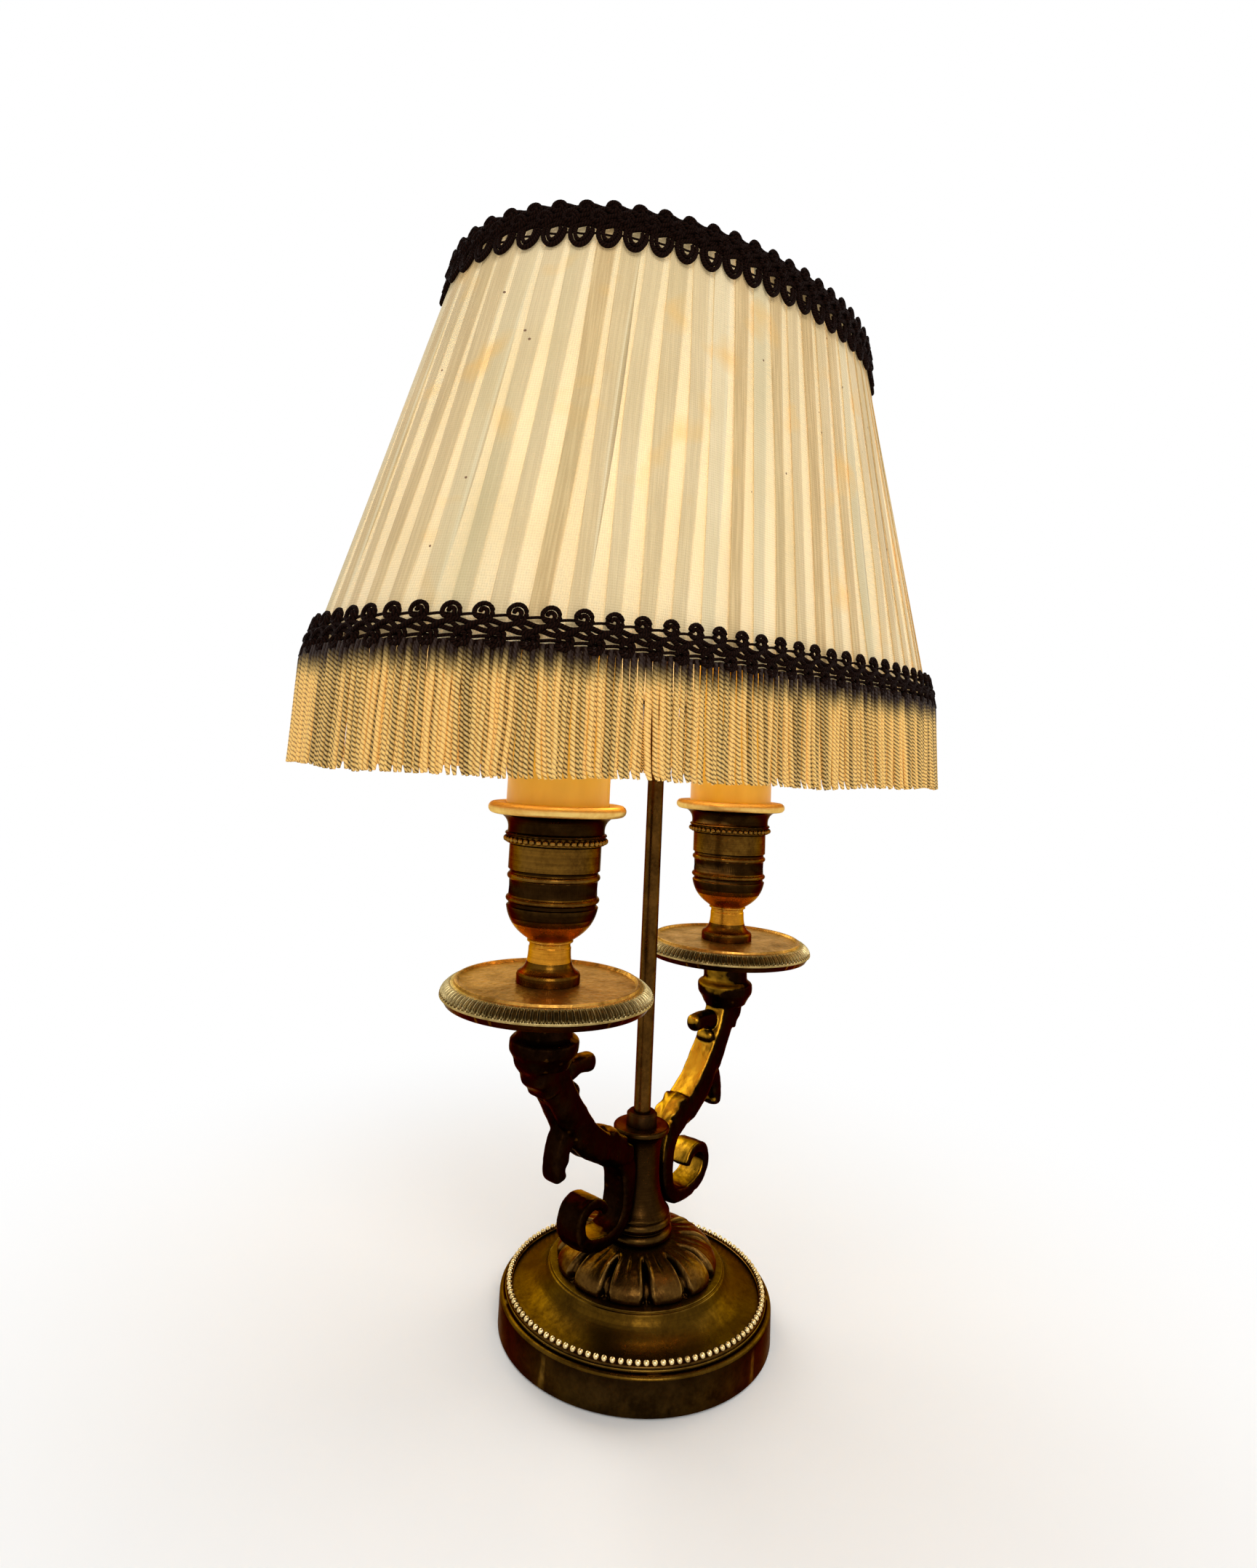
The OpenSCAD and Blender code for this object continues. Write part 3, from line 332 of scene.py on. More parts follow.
# Painted reflection: the cups' bowls and necks take this warm brass for the lit pans that they mirror.
pan_reflection_brass = aged_brass("painted_pan_reflection_brass", "#87520F", "#D8922A", "#FFC860", 0.25, 0.5, 0.5, turning_mm=0.5,
                        glance="#E0BC84")
# Painted highlight: the cups' rolled rims take this pale brass for the bulbs' light that falls on them.
lit_rim_brass = aged_brass("painted_highlight_rim_brass", "#D8A24A", "#FFDC7E", "#FFEDB0", 0.38, 0.6, 0.2, turning_mm=0.5,
                       glance="#F0DCB4")
# Its bright colour is a painted highlight on the sides that face up and in.
dark_turned = aged_brass("dark_turned_brass", "#180B02", "#33200A", "#8E682E", 0.28, 0.7, 0.75,
                         turning_mm=0.5, bright="#9A6C32")
pressed_brass = aged_brass("pressed_brass_leaves", "#77602F", "#BFA66C", "#F0DDA6", 0.38, 0.7, 0.6,
                           hollow_mm=1.6, glance="#DCC8A0")
hammered_brass = aged_brass("hammered_pan_floor", "#7A5420", "#C08C3E", "#F0C878", 0.33, 1.0, 0.2, cast_mm=1.6,
                            glance="#EAD6B4")
drawn_brass = aged_brass("drawn_brass_rod", "#160902", "#2E1B07", "#664318", 0.26, 0.6)
black_brass = aged_brass("blackened_brass", "#120B06", "#261709", "#4A3016", 0.4)
zinc_steel = two_tone("zinc_plated_steel", "#8A8A86", "#B9B9B4", 0.35, 0.8, 0.05, metallic=1.0)
tin_brass = two_tone("bright_brass_cap", "#B79E60", "#D9C48A", 0.3, 0.9, 0.05, metallic=1.0)
cast_iron = two_tone("sand_cast_iron", "#1E1D1C", "#3A3937", 0.7, 0.7, 0.3, metallic=1.0)
wool_felt = two_tone("green_wool_felt", "#17301C", "#2C5233", 0.9, 0.3, 0.3, sheen=0.4)
rubber = two_tone("moulded_rubber", "#14110F", "#26211D", 0.6, 0.4, 0.05)
phenolic = two_tone("moulded_phenolic", "#15110E", "#2A231D", 0.35, 2.0, 0.03)
wire_enamel = two_tone("enamelled_wire", "#8E7B58", "#B7A47C", 0.5, 0.6, 0.05)
candle_wax = waxed_card("waxed_card_tube")
lit_glass = lit_frosted_glass("lit_frosted_glass")
gauze = pleated_gauze("pleated_cotton_gauze")
gimp_yarn = twisted_yarn("black_brown_gimp", "#030100", "#1D0C06", 0.9, 0.85, gloss=0.04)
# The fringe's first 12 mm carry a painted shadow, and the cords have a painted glow.
bullion_yarn = twisted_yarn("gold_bullion_cord", "#3C2203", "#FFD680", 1.3, 0.55, ("#251104", 12.0), 0.25,
                            glow=0.22)

CAD_FINISHES = {
    rolled_brass: ["base_drum"], wool_felt: ["base_felt"], cast_iron: ["ballast_disc"],
    spun_brass: ["base_plate"], stamped_brass: ["bead_ring"], cast_gilt: ["leaf_rosette"],
    dark_casting: ["arm_left", "arm_right"], dark_turned: ["stem_foot_ring", "stem_column"],
    turned_brass: ["finial", "candle_cup_left", "candle_cup_right", "shade_carrier", "thumb_screw",
                   "shade_nut", "shade_spider"],
    zinc_steel: ["tie_tube", "tie_washer", "tie_nut", "nipple_left", "nipple_right", "cup_nuts"],
    rubber: ["cord_bush"], black_brass: ["rod_collar"], drawn_brass: ["shade_rod"],
    pressed_brass: ["drip_pan_left", "drip_pan_right"], phenolic: ["lampholder_left", "lampholder_right"],
    candle_wax: ["sleeve_left", "sleeve_right"], tin_brass: ["bulb_cap_left", "bulb_cap_right"],
    lit_glass: ["bulb_glass_left", "bulb_glass_right"], wire_enamel: ["top_wire", "bottom_wire", "shade_ribs"],
    gauze: ["shade_cover"], gimp_yarn: ["top_braid", "bottom_braid"], bullion_yarn: ["fringe"],
}
for finish_material, nodes in CAD_FINISHES.items():
    for node in nodes:
        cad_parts[node].data.materials.clear()
        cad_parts[node].data.materials.append(finish_material)


# Modelling by hand; sizes are in millimetres

def point_to_draw(name):
    """A new object in edit mode, with one selected point at the origin."""
    bpy.ops.object.select_all(action="DESELECT")
    bpy.ops.mesh.primitive_plane_add(size=MM)
    piece = bpy.context.object
    piece.name = name
    bpy.ops.object.mode_set(mode="EDIT")
    bpy.ops.mesh.select_mode(type="VERT")
    bpy.ops.mesh.merge(type="CENTER")
    return piece


def turned(name, outline, centre=(0.0, 0.0), segments=180, soften=0.25):
    """A lathe job: the closed outline of (radius, height) is drawn, its corners are broken and it is spun."""
    piece = point_to_draw(name)
    reached = Vector((0, 0, 0))
    for number, (radius, height) in enumerate([*outline, outline[0]]):
        step = Vector((centre[0] + radius, centre[1], height)) * MM - reached
        if number:
            bpy.ops.mesh.extrude_region_move(TRANSFORM_OT_translate={"value": step})
        else:
            bpy.ops.transform.translate(value=step)
        reached += step
    bpy.ops.mesh.select_all(action="SELECT")
    bpy.ops.mesh.remove_doubles(threshold=0.001 * MM)
    if soften:
        mesh = bmesh.from_edit_mesh(piece.data)
        for point in mesh.verts:
            before, after = (edge.other_vert(point).co - point.co for edge in point.link_edges)
            point.select_set(before.angle(-after) > math.radians(25))
        mesh.select_flush_mode()
        bmesh.update_edit_mesh(piece.data)
        bpy.ops.mesh.bevel(offset=soften * MM, segments=3, affect="VERTICES", clamp_overlap=True)
        bpy.ops.mesh.select_all(action="SELECT")
    bpy.ops.mesh.spin(steps=segments, angle=TAU, center=(centre[0] * MM, centre[1] * MM, 0), axis=(0, 0, 1))
    bpy.ops.mesh.select_all(action="SELECT")
    bpy.ops.mesh.remove_doubles(threshold=0.002 * MM)
    bpy.ops.mesh.normals_make_consistent(inside=False)
    bpy.ops.object.mode_set(mode="OBJECT")
    return piece


def chase(piece, relief, centre=(0.0, 0.0)):
    """Cuts ornament into a turned piece: relief(angle, radius, height) gives each point's new radius
    and height."""
    spots = np.empty(len(piece.data.vertices) * 3)
    piece.data.vertices.foreach_get("co", spots)
    x, y, z = (spots.reshape(-1, 3) / MM - (*centre, 0.0)).T
    angle, radius = np.arctan2(y, x), np.hypot(x, y)
    radius, z = relief(angle, radius, z)
    spots = np.stack([centre[0] + radius * np.cos(angle), centre[1] + radius * np.sin(angle), z], -1) * MM
    piece.data.vertices.foreach_set("co", spots.ravel())
    piece.data.update()


def repeated(piece, matrices):
    """Copies of a piece, one at each matrix, joined with their own meshes in one object."""
    twins = []
    for matrix in matrices:
        twin = piece.copy()
        twin.data = piece.data.copy()
        twin.data.transform(matrix)
        bpy.context.scene.collection.objects.link(twin)
        twins.append(twin)
    bpy.data.objects.remove(piece)
    return joined(twins)


def joined(pieces):
    bpy.ops.object.select_all(action="DESELECT")
    for piece in pieces:
        piece.select_set(True)
    bpy.context.view_layer.objects.active = pieces[0]
    bpy.ops.object.join()
    return pieces[0]


def modified(piece, kind, **settings):
    """Adds a modifier and applies it."""
    bpy.ops.object.select_all(action="DESELECT")
    piece.select_set(True)
    bpy.context.view_layer.objects.active = piece
    modifier = piece.modifiers.new(kind.lower(), kind)
    for key, value in settings.items():
        setattr(modifier, key, value)
    bpy.ops.object.modifier_apply(modifier=modifier.name)
    return piece


def dressed(piece, name, material, body, slot, *nodes, angle=35):
    """Names a finished piece, and gives it its material, smooth shading and body; nodes are the CAD parts that it
    hides. slot is not used.
    """
    piece.name = piece.data.name = name
    piece.data.materials.clear()
    piece.data.materials.append(material)
    bpy.ops.object.select_all(action="DESELECT")
    piece.select_set(True)
    bpy.context.view_layer.objects.active = piece
    bpy.ops.object.transform_apply()
    if angle < 180:
        bpy.ops.object.shade_smooth_by_angle(angle=math.radians(angle))
    else:
        bpy.ops.object.shade_smooth()
    if nodes:
        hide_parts(*nodes)
    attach(piece, body)
    return piece


def banded(piece, bands, centre=0.0):
    """Gives the outer faces between two heights, and outside a radius, another finish."""
    for material, low, high, inside in bands:
        piece.data.materials.append(material)
        for face in piece.data.polygons:
            x, y, z = face.center / MM
            if low < z < high and math.hypot(x - centre, y) > inside:
                face.material_index = len(piece.data.materials) - 1


def bezier(a, b, c, d, steps=8):
    """Points of the cubic curve from a to d."""
    a, b, c, d = (np.array(point, float) for point in (a, b, c, d))
    return [tuple((1 - t) ** 3 * a + 3 * (1 - t) ** 2 * t * b + 3 * (1 - t) * t * t * c + t ** 3 * d)
            for t in np.linspace(0, 1, steps + 1)]


def ring_of(radius, height, middle, start, end, steps=6):
    """Points of an arc of a moulding in the outline's plane; angles in degrees."""
    return [(middle + radius * math.cos(math.radians(a)), height + radius * math.sin(math.radians(a)))
            for a in np.linspace(start, end, steps + 1)]


def smooth_step(value, low, high):
    share = np.clip((value - low) / (high - low), 0, 1)
    return share * share * (3 - 2 * share)


def hump(value, middle, half):
    """A soft hump of height one."""
    return np.exp(-((value - middle) / half) ** 2)


# Base and stem

BASE_R, DRUM_H, FELT_PROUD, DRUM_WALL, DECK_T = 46.5, 11.3, 0.5, 3.2, 2.4
BUSH_R, BUSH_Z = 3.15, (0.5 + 11.3 - 2.4) / 2 + 0.6
COVE_RIM_H, LEDGE_H, LEDGE_R, TIE_HOLE_R = 0.95, 8.3, 29.8, 4.25
BEAD_RING_R, BEAD_R = 43.4, 1.15
BEAD_Z = DRUM_H + COVE_RIM_H + BEAD_R
BEAD_COUNT = 107
ROSETTE_R, ROSETTE_H, LOBES = 27.4, 8.6, 12
FOOT_R, FOOT_H, COLUMN_H, WAIST_R, COLUMN_TOP_R = 12.0, 7.2, 28.1, 6.9, 9.9
PLATE_TOP = DRUM_H + LEDGE_H
ROSETTE_TOP = PLATE_TOP + ROSETTE_H
COLUMN_Z = ROSETTE_TOP + FOOT_H
COLUMN_TOP = COLUMN_Z + COLUMN_H


def drum():
    """The rolled wall and its deck, with a rounded shoulder and the hole of the cord's bush."""
    deck = DRUM_H - DECK_T
    outline = [(TIE_HOLE_R, deck), (TIE_HOLE_R, DRUM_H), (BASE_R - 0.9, DRUM_H), (BASE_R - 0.3, DRUM_H - 0.3),
               (BASE_R, DRUM_H - 0.9), (BASE_R, FELT_PROUD), (BASE_R - DRUM_WALL, FELT_PROUD),
               (BASE_R - DRUM_WALL, deck)]
    piece = turned("wall", outline, segments=180, soften=0.3)
    bpy.ops.object.select_all(action="DESELECT")
    bpy.ops.mesh.primitive_cylinder_add(vertices=48, radius=BUSH_R * MM, depth=12 * MM,
                                        location=(0, BASE_R * MM, BUSH_Z * MM), rotation=(math.pi / 2, 0, 0))
    cutter = bpy.context.object
    modified(piece, "BOOLEAN", object=cutter, operation="DIFFERENCE", solver="EXACT")
    bpy.data.objects.remove(cutter)
    dressed(piece, "rolled_drum", rolled_brass, "lamp", "base_brass", "base_drum", angle=40)
    # Painted highlight: the shoulder's top band takes the paler plate brass, a bright line along the near-black
    # wall's top edge.
    banded(piece, [(spun_brass, DRUM_H - 0.75, DRUM_H + 0.1, BEAD_RING_R)])


def base_plate():
    """The coved plate, from the seat of the bead wire up to the thin ledge under the rosette."""
    rim = DRUM_H + COVE_RIM_H
    outline = [(TIE_HOLE_R, DRUM_H), (BEAD_RING_R + BEAD_R + 0.2, DRUM_H), (BEAD_RING_R + BEAD_R + 0.2, rim),
               (BEAD_RING_R - BEAD_R - 0.4, rim)]
    outline += bezier((BEAD_RING_R - 2.2, rim + 0.2), (LEDGE_R + 7, rim + 0.8), (LEDGE_R + 2, rim + 2.4),
                      (LEDGE_R + 0.6, PLATE_TOP - 0.7), 14)
    outline += [(LEDGE_R, PLATE_TOP - 0.6), (LEDGE_R, PLATE_TOP), (TIE_HOLE_R, PLATE_TOP)]
    dressed(turned("plate", outline, segments=220), "coved_plate", spun_brass, "lamp", "base_brass",
            "base_plate")


def bead_wire():
    """A stamped wire with a row of round beads on its dark foot; the beads' pale gold is partly a painted highlight.
    """
    foot = turned("wire", [(BEAD_RING_R - BEAD_R, BEAD_Z - BEAD_R), (BEAD_RING_R + BEAD_R, BEAD_Z - BEAD_R),
                  (BEAD_RING_R + BEAD_R - 0.1, BEAD_Z - 0.4), (BEAD_RING_R - BEAD_R + 0.1, BEAD_Z - 0.4)],
                  segments=200)
    dressed(foot, "bead_wire", dark_turned, "lamp", "bead_brass", "bead_ring")
    bpy.ops.object.select_all(action="DESELECT")
    bpy.ops.mesh.primitive_uv_sphere_add(segments=12, ring_count=8, radius=BEAD_R * 0.86 * MM,
                                         location=(BEAD_RING_R * MM, 0, BEAD_Z * MM))
    bpy.ops.object.transform_apply()
    turns = [Matrix.Rotation(TAU * k / BEAD_COUNT, 4, "Z") for k in range(BEAD_COUNT)]
    beads = repeated(bpy.context.object, turns)
    dressed(beads, "base_beads", stamped_brass, "lamp", "bead_brass", "bead_ring", angle=180)


def rosette_relief(angle, radius, height):
    """Twelve broad leaves with a shallow vein. Deep slits with a narrow dart lie between them, and a
    raised almond-shaped facet lies on each side of a slit."""
    turn = np.mod(angle * LOBES / TAU - 0.5, 1.0)
    slit = np.minimum(turn, 1 - turn)
    vein = 0.5 - slit
    rise = np.clip((height - PLATE_TOP) / ROSETTE_H, 0, 1)
    upper = smooth_step(radius, FOOT_R + 2.6, FOOT_R + 6.2)
    swell = np.sqrt(np.clip(1 - (1 - slit * 2) ** 2.6, 0, 1)) - 1
    push = 1.5 * swell * smooth_step(radius, FOOT_R + 3, FOOT_R + 11)
    push += 0.75 * hump(slit, 0.15, 0.05) * hump(radius, 21.5, 4.5)
    push -= 2.6 * hump(slit, 0.0, 0.05 + 0.035 * (1 - rise)) * upper * smooth_step(rise, 0.0, 0.1)
    push += 1.9 * hump(slit, 0.0, 0.032) * smooth_step(radius, 23.5, 26.5)
    push -= 0.5 * hump(vein, 0.0, 0.035) * hump(radius, 18.5, 3.2)
    push -= 1.3 * hump(slit, 0.1, 0.05) * (1 - smooth_step(rise, 0.0, 0.35)) * (radius > ROSETTE_R - 5)
    out = 0.15 + 0.85 * smooth_step(radius, 17, 26)
    lift = 1 - 0.85 * smooth_step(radius, 19, 27)
    under = height <= PLATE_TOP + 0.01
    flat = under & (radius < ROSETTE_R - 3)
    return radius + np.where(flat, 0, push * out), np.where(under, height, height + push * lift)


def rosette():
    """The leaf dome: turned to its swelling outline, then chased."""
    crest = bezier((ROSETTE_R + 0.1, PLATE_TOP + 0.2), (ROSETTE_R + 1.3, PLATE_TOP + 3.4),
                   (ROSETTE_R - 2.6, PLATE_TOP + 6.4), (ROSETTE_R - 7.6, PLATE_TOP + 7.5), 24)
    crest += bezier((ROSETTE_R - 8, PLATE_TOP + 7.58), (ROSETTE_R - 10, PLATE_TOP + 7.9),
                    (FOOT_R + 3.6, PLATE_TOP + 8.2), (FOOT_R + 1, ROSETTE_TOP), 12)
    outline = [(TIE_HOLE_R + 0.5, PLATE_TOP), (ROSETTE_R - 0.4, PLATE_TOP), *crest,
               (TIE_HOLE_R + 0.5, ROSETTE_TOP)]
    piece = turned("rosette", outline, segments=LOBES * 40, soften=0)
    chase(piece, rosette_relief)
    dressed(piece, "leaf_rosette_cast", cast_gilt, "lamp", "cast_bronze", "leaf_rosette", angle=60)


def stem():
    """The double foot ring, and the trumpet column with its flat top disc."""
    z, half = ROSETTE_TOP, FOOT_H / 2
    ring = [(TIE_HOLE_R, z), (FOOT_R - 1.0, z)]
    ring += ring_of(1.75, z + half / 2, FOOT_R - 1.75, -65, 65, 8)
    ring += [(FOOT_R - 1.4, z + half)]
    ring += ring_of(1.7, z + 1.5 * half, FOOT_R - 2.15, -65, 65, 8)
    ring += [(FOOT_R - 1.5, z + FOOT_H), (TIE_HOLE_R, z + FOOT_H)]
    dressed(turned("ring", ring, segments=128, soften=0.15), "foot_ring", dark_turned, "lamp",
            "turned_brass", "stem_foot_ring")
    z, w, disc = COLUMN_Z, WAIST_R, COLUMN_TOP - 2
    trumpet = [(TIE_HOLE_R, z), (FOOT_R - 1, z), (FOOT_R - 1, z + 0.7)]
    trumpet += bezier((FOOT_R - 1.4, z + 1.2), (FOOT_R - 3.6, z + 3), (w, z + 8), (w, z + 14.6), 12)
    trumpet += bezier((w, z + 17.6), (w, z + 20.6), (w + 0.6, disc - 1.4), (COLUMN_TOP_R - 0.7, disc), 8)
    trumpet += [(COLUMN_TOP_R, disc + 0.5), (COLUMN_TOP_R, COLUMN_TOP - 0.5), (COLUMN_TOP_R - 0.5, COLUMN_TOP),
                (TIE_HOLE_R, COLUMN_TOP)]
    dressed(turned("column", trumpet, segments=128), "trumpet_column", dark_turned, "lamp",
            "turned_brass", "stem_column")


drum()
base_plate()
bead_wire()
rosette()
stem()

# Candles

SPAN, PAN_R, PAN_Z, PAN_T, BORDER_W, RIDGE_H = 53.5, 33.8, 120.2, 6.7, 3.9, 0.8
NOZZLE_R, NOZZLE_H, NIPPLE_HOLE_R = 9.0, 11.5, 4.95
NOZZLE_Z = PAN_Z - PAN_T - NOZZLE_H
BODY_R, CUP_WAIST_R, CUP_FOOT_R, RIM_R, CUP_H, CUP_WALL = 15.0, 6.8, 10.2, 22.5, 55.8, 2.0
CUP_TOP, CUP_FLOOR, SEAT_Z, SEAT_R = PAN_Z + CUP_H, PAN_Z + 18.3, PAN_Z + CUP_H - 3.2, 17.0
LEAVES = 102
REEDS = 132
STRING_BEADS = 46


def pan_relief(angle, radius, height):
    """The border's upright leaves: a raised U-shaped line round each one, a fine rib in its middle and a
    dark valley between two. The floor is hammered softly."""
    inner, outer = PAN_R - BORDER_W + 0.7, PAN_R - 0.1
    down = np.clip((radius - inner) / (outer - inner), 0, 1) / 2 + np.clip((PAN_Z - 0.2 - height) / 3.0, 0, 1) / 2
    band = (height > PAN_Z - 3.3) & (radius > inner)
    off = np.abs(np.mod(angle * LEAVES / TAU, 1.0) - 0.5) * 2
    half = 0.72 * np.sqrt(np.clip(1 - (np.clip(down - 0.55, 0, 1) / 0.42) ** 2, 0, 1))
    line = hump(off, half, 0.17)
    rib = 0.55 * hump(off, 0, 0.16) * (down < 0.75)
    window = smooth_step(down, 0.0, 0.1) * (1 - smooth_step(down, 0.94, 1.0)) * band
    push = 0.95 * (np.maximum(line, rib) - 0.75) * window
    floor_part = (height > PAN_Z - 0.1) & (radius < PAN_R - BORDER_W - 2) & (radius > CUP_FOOT_R + 1)
    dents = 0.05 * np.sin(radius * 1.9 + 3 * np.sin(angle * 5)) * np.sin(angle * 31 + radius)
    return radius + 0.8 * push, height + 0.8 * push + np.where(floor_part, dents, 0)


def drip_pan(side, name):
    """The dish: a leaf border outside over a plain band, and a shallow floor inside a thin lip."""
    r, z, ridge = PAN_R, PAN_Z, PAN_R - BORDER_W
    under, recess = PAN_Z - PAN_T, PAN_Z - 3.6
    outline = [(NIPPLE_HOLE_R, under), (NOZZLE_R + 1.6, under), (NOZZLE_R + 2.4, recess), (ridge - 1.4, recess),
               (ridge - 0.5, under + 0.5), (r - 1.7, under + 0.7), (r - 0.5, z - 4.1), (r, z - 3.9),
               (r, z - 3.4)]
    outline += bezier((r - 0.2, z - 3), (r - 0.9, z - 1.6), (ridge + 2, z - 0.6), (ridge + 0.7, z - 0.2), 12)
    outline += [(ridge - 0.3, z), (ridge - 0.5, z + RIDGE_H), (ridge - 1.3, z + RIDGE_H), (ridge - 1.9, z)]
    outline += bezier((ridge - 3, z - 0.02), (ridge - 8, z), (ridge - 12, z), (CUP_FOOT_R + 1, z), 10)
    outline += [(NIPPLE_HOLE_R, z)]
    centre = (side * SPAN, 0.0)
    piece = turned("pan", outline, centre, segments=LEAVES * 12, soften=0.12)
    chase(piece, pan_relief, centre)
    dressed(piece, f"leaf_pan_{name}", pressed_brass, "lamp", "pan_brass", f"drip_pan_{name}", angle=50)
    banded(piece, [(hammered_brass, z - 0.3, z + 2, 0), (dark_turned, under - 1, z - 3.95, 0),
                   (pressed_brass, z - 4, z + 2, ridge - 0.2)], centre[0])


def cup_relief(angle, radius, height):
    """Fine upright reeds in the hollow band."""
    down = CUP_TOP - height
    band = smooth_step(down, 24.4, 24.8) * (1 - smooth_step(down, 28.3, 28.7)) * (radius > BODY_R - 1.2)
    return radius - 0.14 * band * (1 + np.cos(angle * REEDS)), height


def candle_cup(side, name):
    """The turned cup with its string of beads and its thick rolled rim."""
    z, b, w, f, top = PAN_Z, BODY_R, CUP_WAIST_R, CUP_FOOT_R, CUP_TOP
    outline = [(NIPPLE_HOLE_R, z), (f, z), (f, z + 2.4)]
    outline += bezier((f - 0.4, z + 3.2), (w + 0.6, z + 4.2), (w, z + 6.4), (w, z + 10.8), 10)
    outline += [(w - 0.2, z + 11.1), (w - 0.2, z + 12.3), (w + 0.6, z + 12.5), (w + 0.6, z + 13.0)]
    outline += bezier((w + 0.4, z + 13.2), (w + 3.6, z + 15.2), (b - 1.2, z + 17.6), (b - 0.2, top - 32.4), 14)
    outline += [(b - 0.8, top - 32), (b - 0.8, top - 31.1)]
    outline += ring_of(0.85, top - 30.1, b - 0.75, -75, 75)
    outline += [(b - 0.7, top - 28.8), (b - 0.8, top - 26.6), (b - 0.7, top - 24.4)]
    outline += ring_of(1.0, top - 23.1, b - 0.95, -70, 70)
    outline += [(b - 0.7, top - 21.8), (b - 0.7, top - 21.2), (b - 0.1, top - 20.9), (b - 0.1, top - 13.3),
                (b - 0.5, top - 13.0), (b + 0.9, top - 12.8), (b + 1.1, top - 10.4), (b + 1.6, top - 10.0),
                (b + 1.4, top - 9.5)]
    outline += bezier((b + 0.8, top - 9.3), (b + 0.5, top - 7.6), (b + 0.9, top - 5.4), (b + 3.2, top - 4.1), 10)
    outline += ring_of(1.85, top - 1.9, RIM_R - 1.85, -95, 90, 12)
    outline += [(SEAT_R, top - 0.4), (SEAT_R, SEAT_Z), (b - CUP_WALL, SEAT_Z), (b - CUP_WALL, CUP_FLOOR + 3.2),
                (b - CUP_WALL - 2.4, CUP_FLOOR), (NIPPLE_HOLE_R, CUP_FLOOR)]
    centre = (side * SPAN, 0.0)
    cup = turned("cup", outline, centre, segments=REEDS * 2, soften=0.1)
    chase(cup, cup_relief, centre)
    bpy.ops.object.select_all(action="DESELECT")
    bpy.ops.mesh.primitive_uv_sphere_add(segments=10, ring_count=8, radius=0.92 * MM)
    bead = bpy.context.object
    bead.data.transform(Matrix.Translation(((b + 1.15) * MM, 0, (top - 11.6) * MM))
                        @ Matrix.Diagonal((1, 1.12, 1, 1)))
    stand = Matrix.Translation((centre[0] * MM, 0, 0))
    beads = repeated(bead, [stand @ Matrix.Rotation(TAU * k / STRING_BEADS, 4, "Z")
                            for k in range(STRING_BEADS)])
    piece = dressed(joined([cup, beads]), f"turned_cup_{name}", turned_brass, "lamp", "turned_brass",
                    f"candle_cup_{name}", angle=45)
    # Painted highlight: the rolled rim takes the pale brass for the bulbs' light on it. Painted reflection: the bowl
    # and neck take the warm brass for the lit pan. The cavetto and grooved bands take the darker brass.
    banded(piece, [(lit_rim_brass, top - 3.6, top + 1, SEAT_R), (dark_turned, top - 10, top - 3.6, b - 1),
                   (dark_turned, top - 28.9, top - 24.2, b - 1.5), (dark_turned, top - 36, top - 31, b - 2.5),
                   (dark_turned, top - 21.9, top - 20.95, b - 1), (pan_reflection_brass, z + 6.5, z + 18.5, 0)], centre[0])


# Scroll arms, drawn for the right-hand arm in the plane of the arms

def smooth_line(points, steps=12):
    """Points of a smooth line through the chosen ones."""
    p = np.array(points, float)
    line = []
    for i in range(len(p) - 1):
        a, b, c, d = p[max(i - 1, 0)], p[i], p[i + 1], p[min(i + 2, len(p) - 1)]
        for t in np.linspace(0, 1, steps, endpoint=False):
            line.append(0.5 * (2 * b + (c - a) * t + (2 * a - 5 * b + 4 * c - d) * t * t
                               + (3 * b - a - 3 * c + d) * t ** 3))
    return np.array([*line, p[-1]])


def limb(path, width, relief, end_mm=2.0, square=3.2):
    """A member of the casting, shaped from a ball: its rings lie along the path of (x, height, half
    thickness), width wide, and relief(along, across, lower) raises or sinks its skin. lower is positive
    on the side to the left of the path's way."""
    line = smooth_line(path)
    rings = len(line) + 1
    bpy.ops.object.select_all(action="DESELECT")
    bpy.ops.mesh.primitive_uv_sphere_add(segments=40, ring_count=rings, radius=1.0)
    piece = bpy.context.object
    spots = np.empty(len(piece.data.vertices) * 3)
    piece.data.vertices.foreach_get("co", spots)
    x, y, z = spots.reshape(-1, 3).T
    along = np.arccos(np.clip(z, -1, 1)) / math.pi
    turn = np.arctan2(y, x)
    steps = np.hypot(*np.diff(line[:, :2], axis=0).T)
    reach = np.concatenate([[0], np.cumsum(steps)])
    share = reach / reach[-1]
    place = np.stack([np.interp(along, share, line[:, i]) for i in range(3)], -1)
    run = np.gradient(line[:, :2], axis=0)
    run = np.stack([np.interp(along, share, run[:, i]) for i in range(2)], -1)
    run /= np.linalg.norm(run, axis=1)[:, None]
    left = np.minimum(along, 1 - along) * reach[-1]
    close = np.sqrt(np.clip(1 - (1 - np.clip(left / end_mm, 0, 1)) ** 2, 0, 1))
    corner = 1 / (np.abs(np.cos(turn)) ** square + np.abs(np.sin(turn)) ** square) ** (1 / square)
    lower, across = np.cos(turn) * corner, np.sin(turn) * corner
    skin = relief(along, across, lower)
    push = (place[:, 2] * lower + np.sign(lower) * np.abs(lower) ** 0.5 * skin) * close
    side = width / 2 * across * (1 + 0.06 * skin) * close
    spots = np.stack([place[:, 0] - push * run[:, 1], side, place[:, 1] + push * run[:, 0]], -1) * MM
    piece.data.vertices.foreach_set("co", spots.ravel())
    piece.data.update()
    return piece


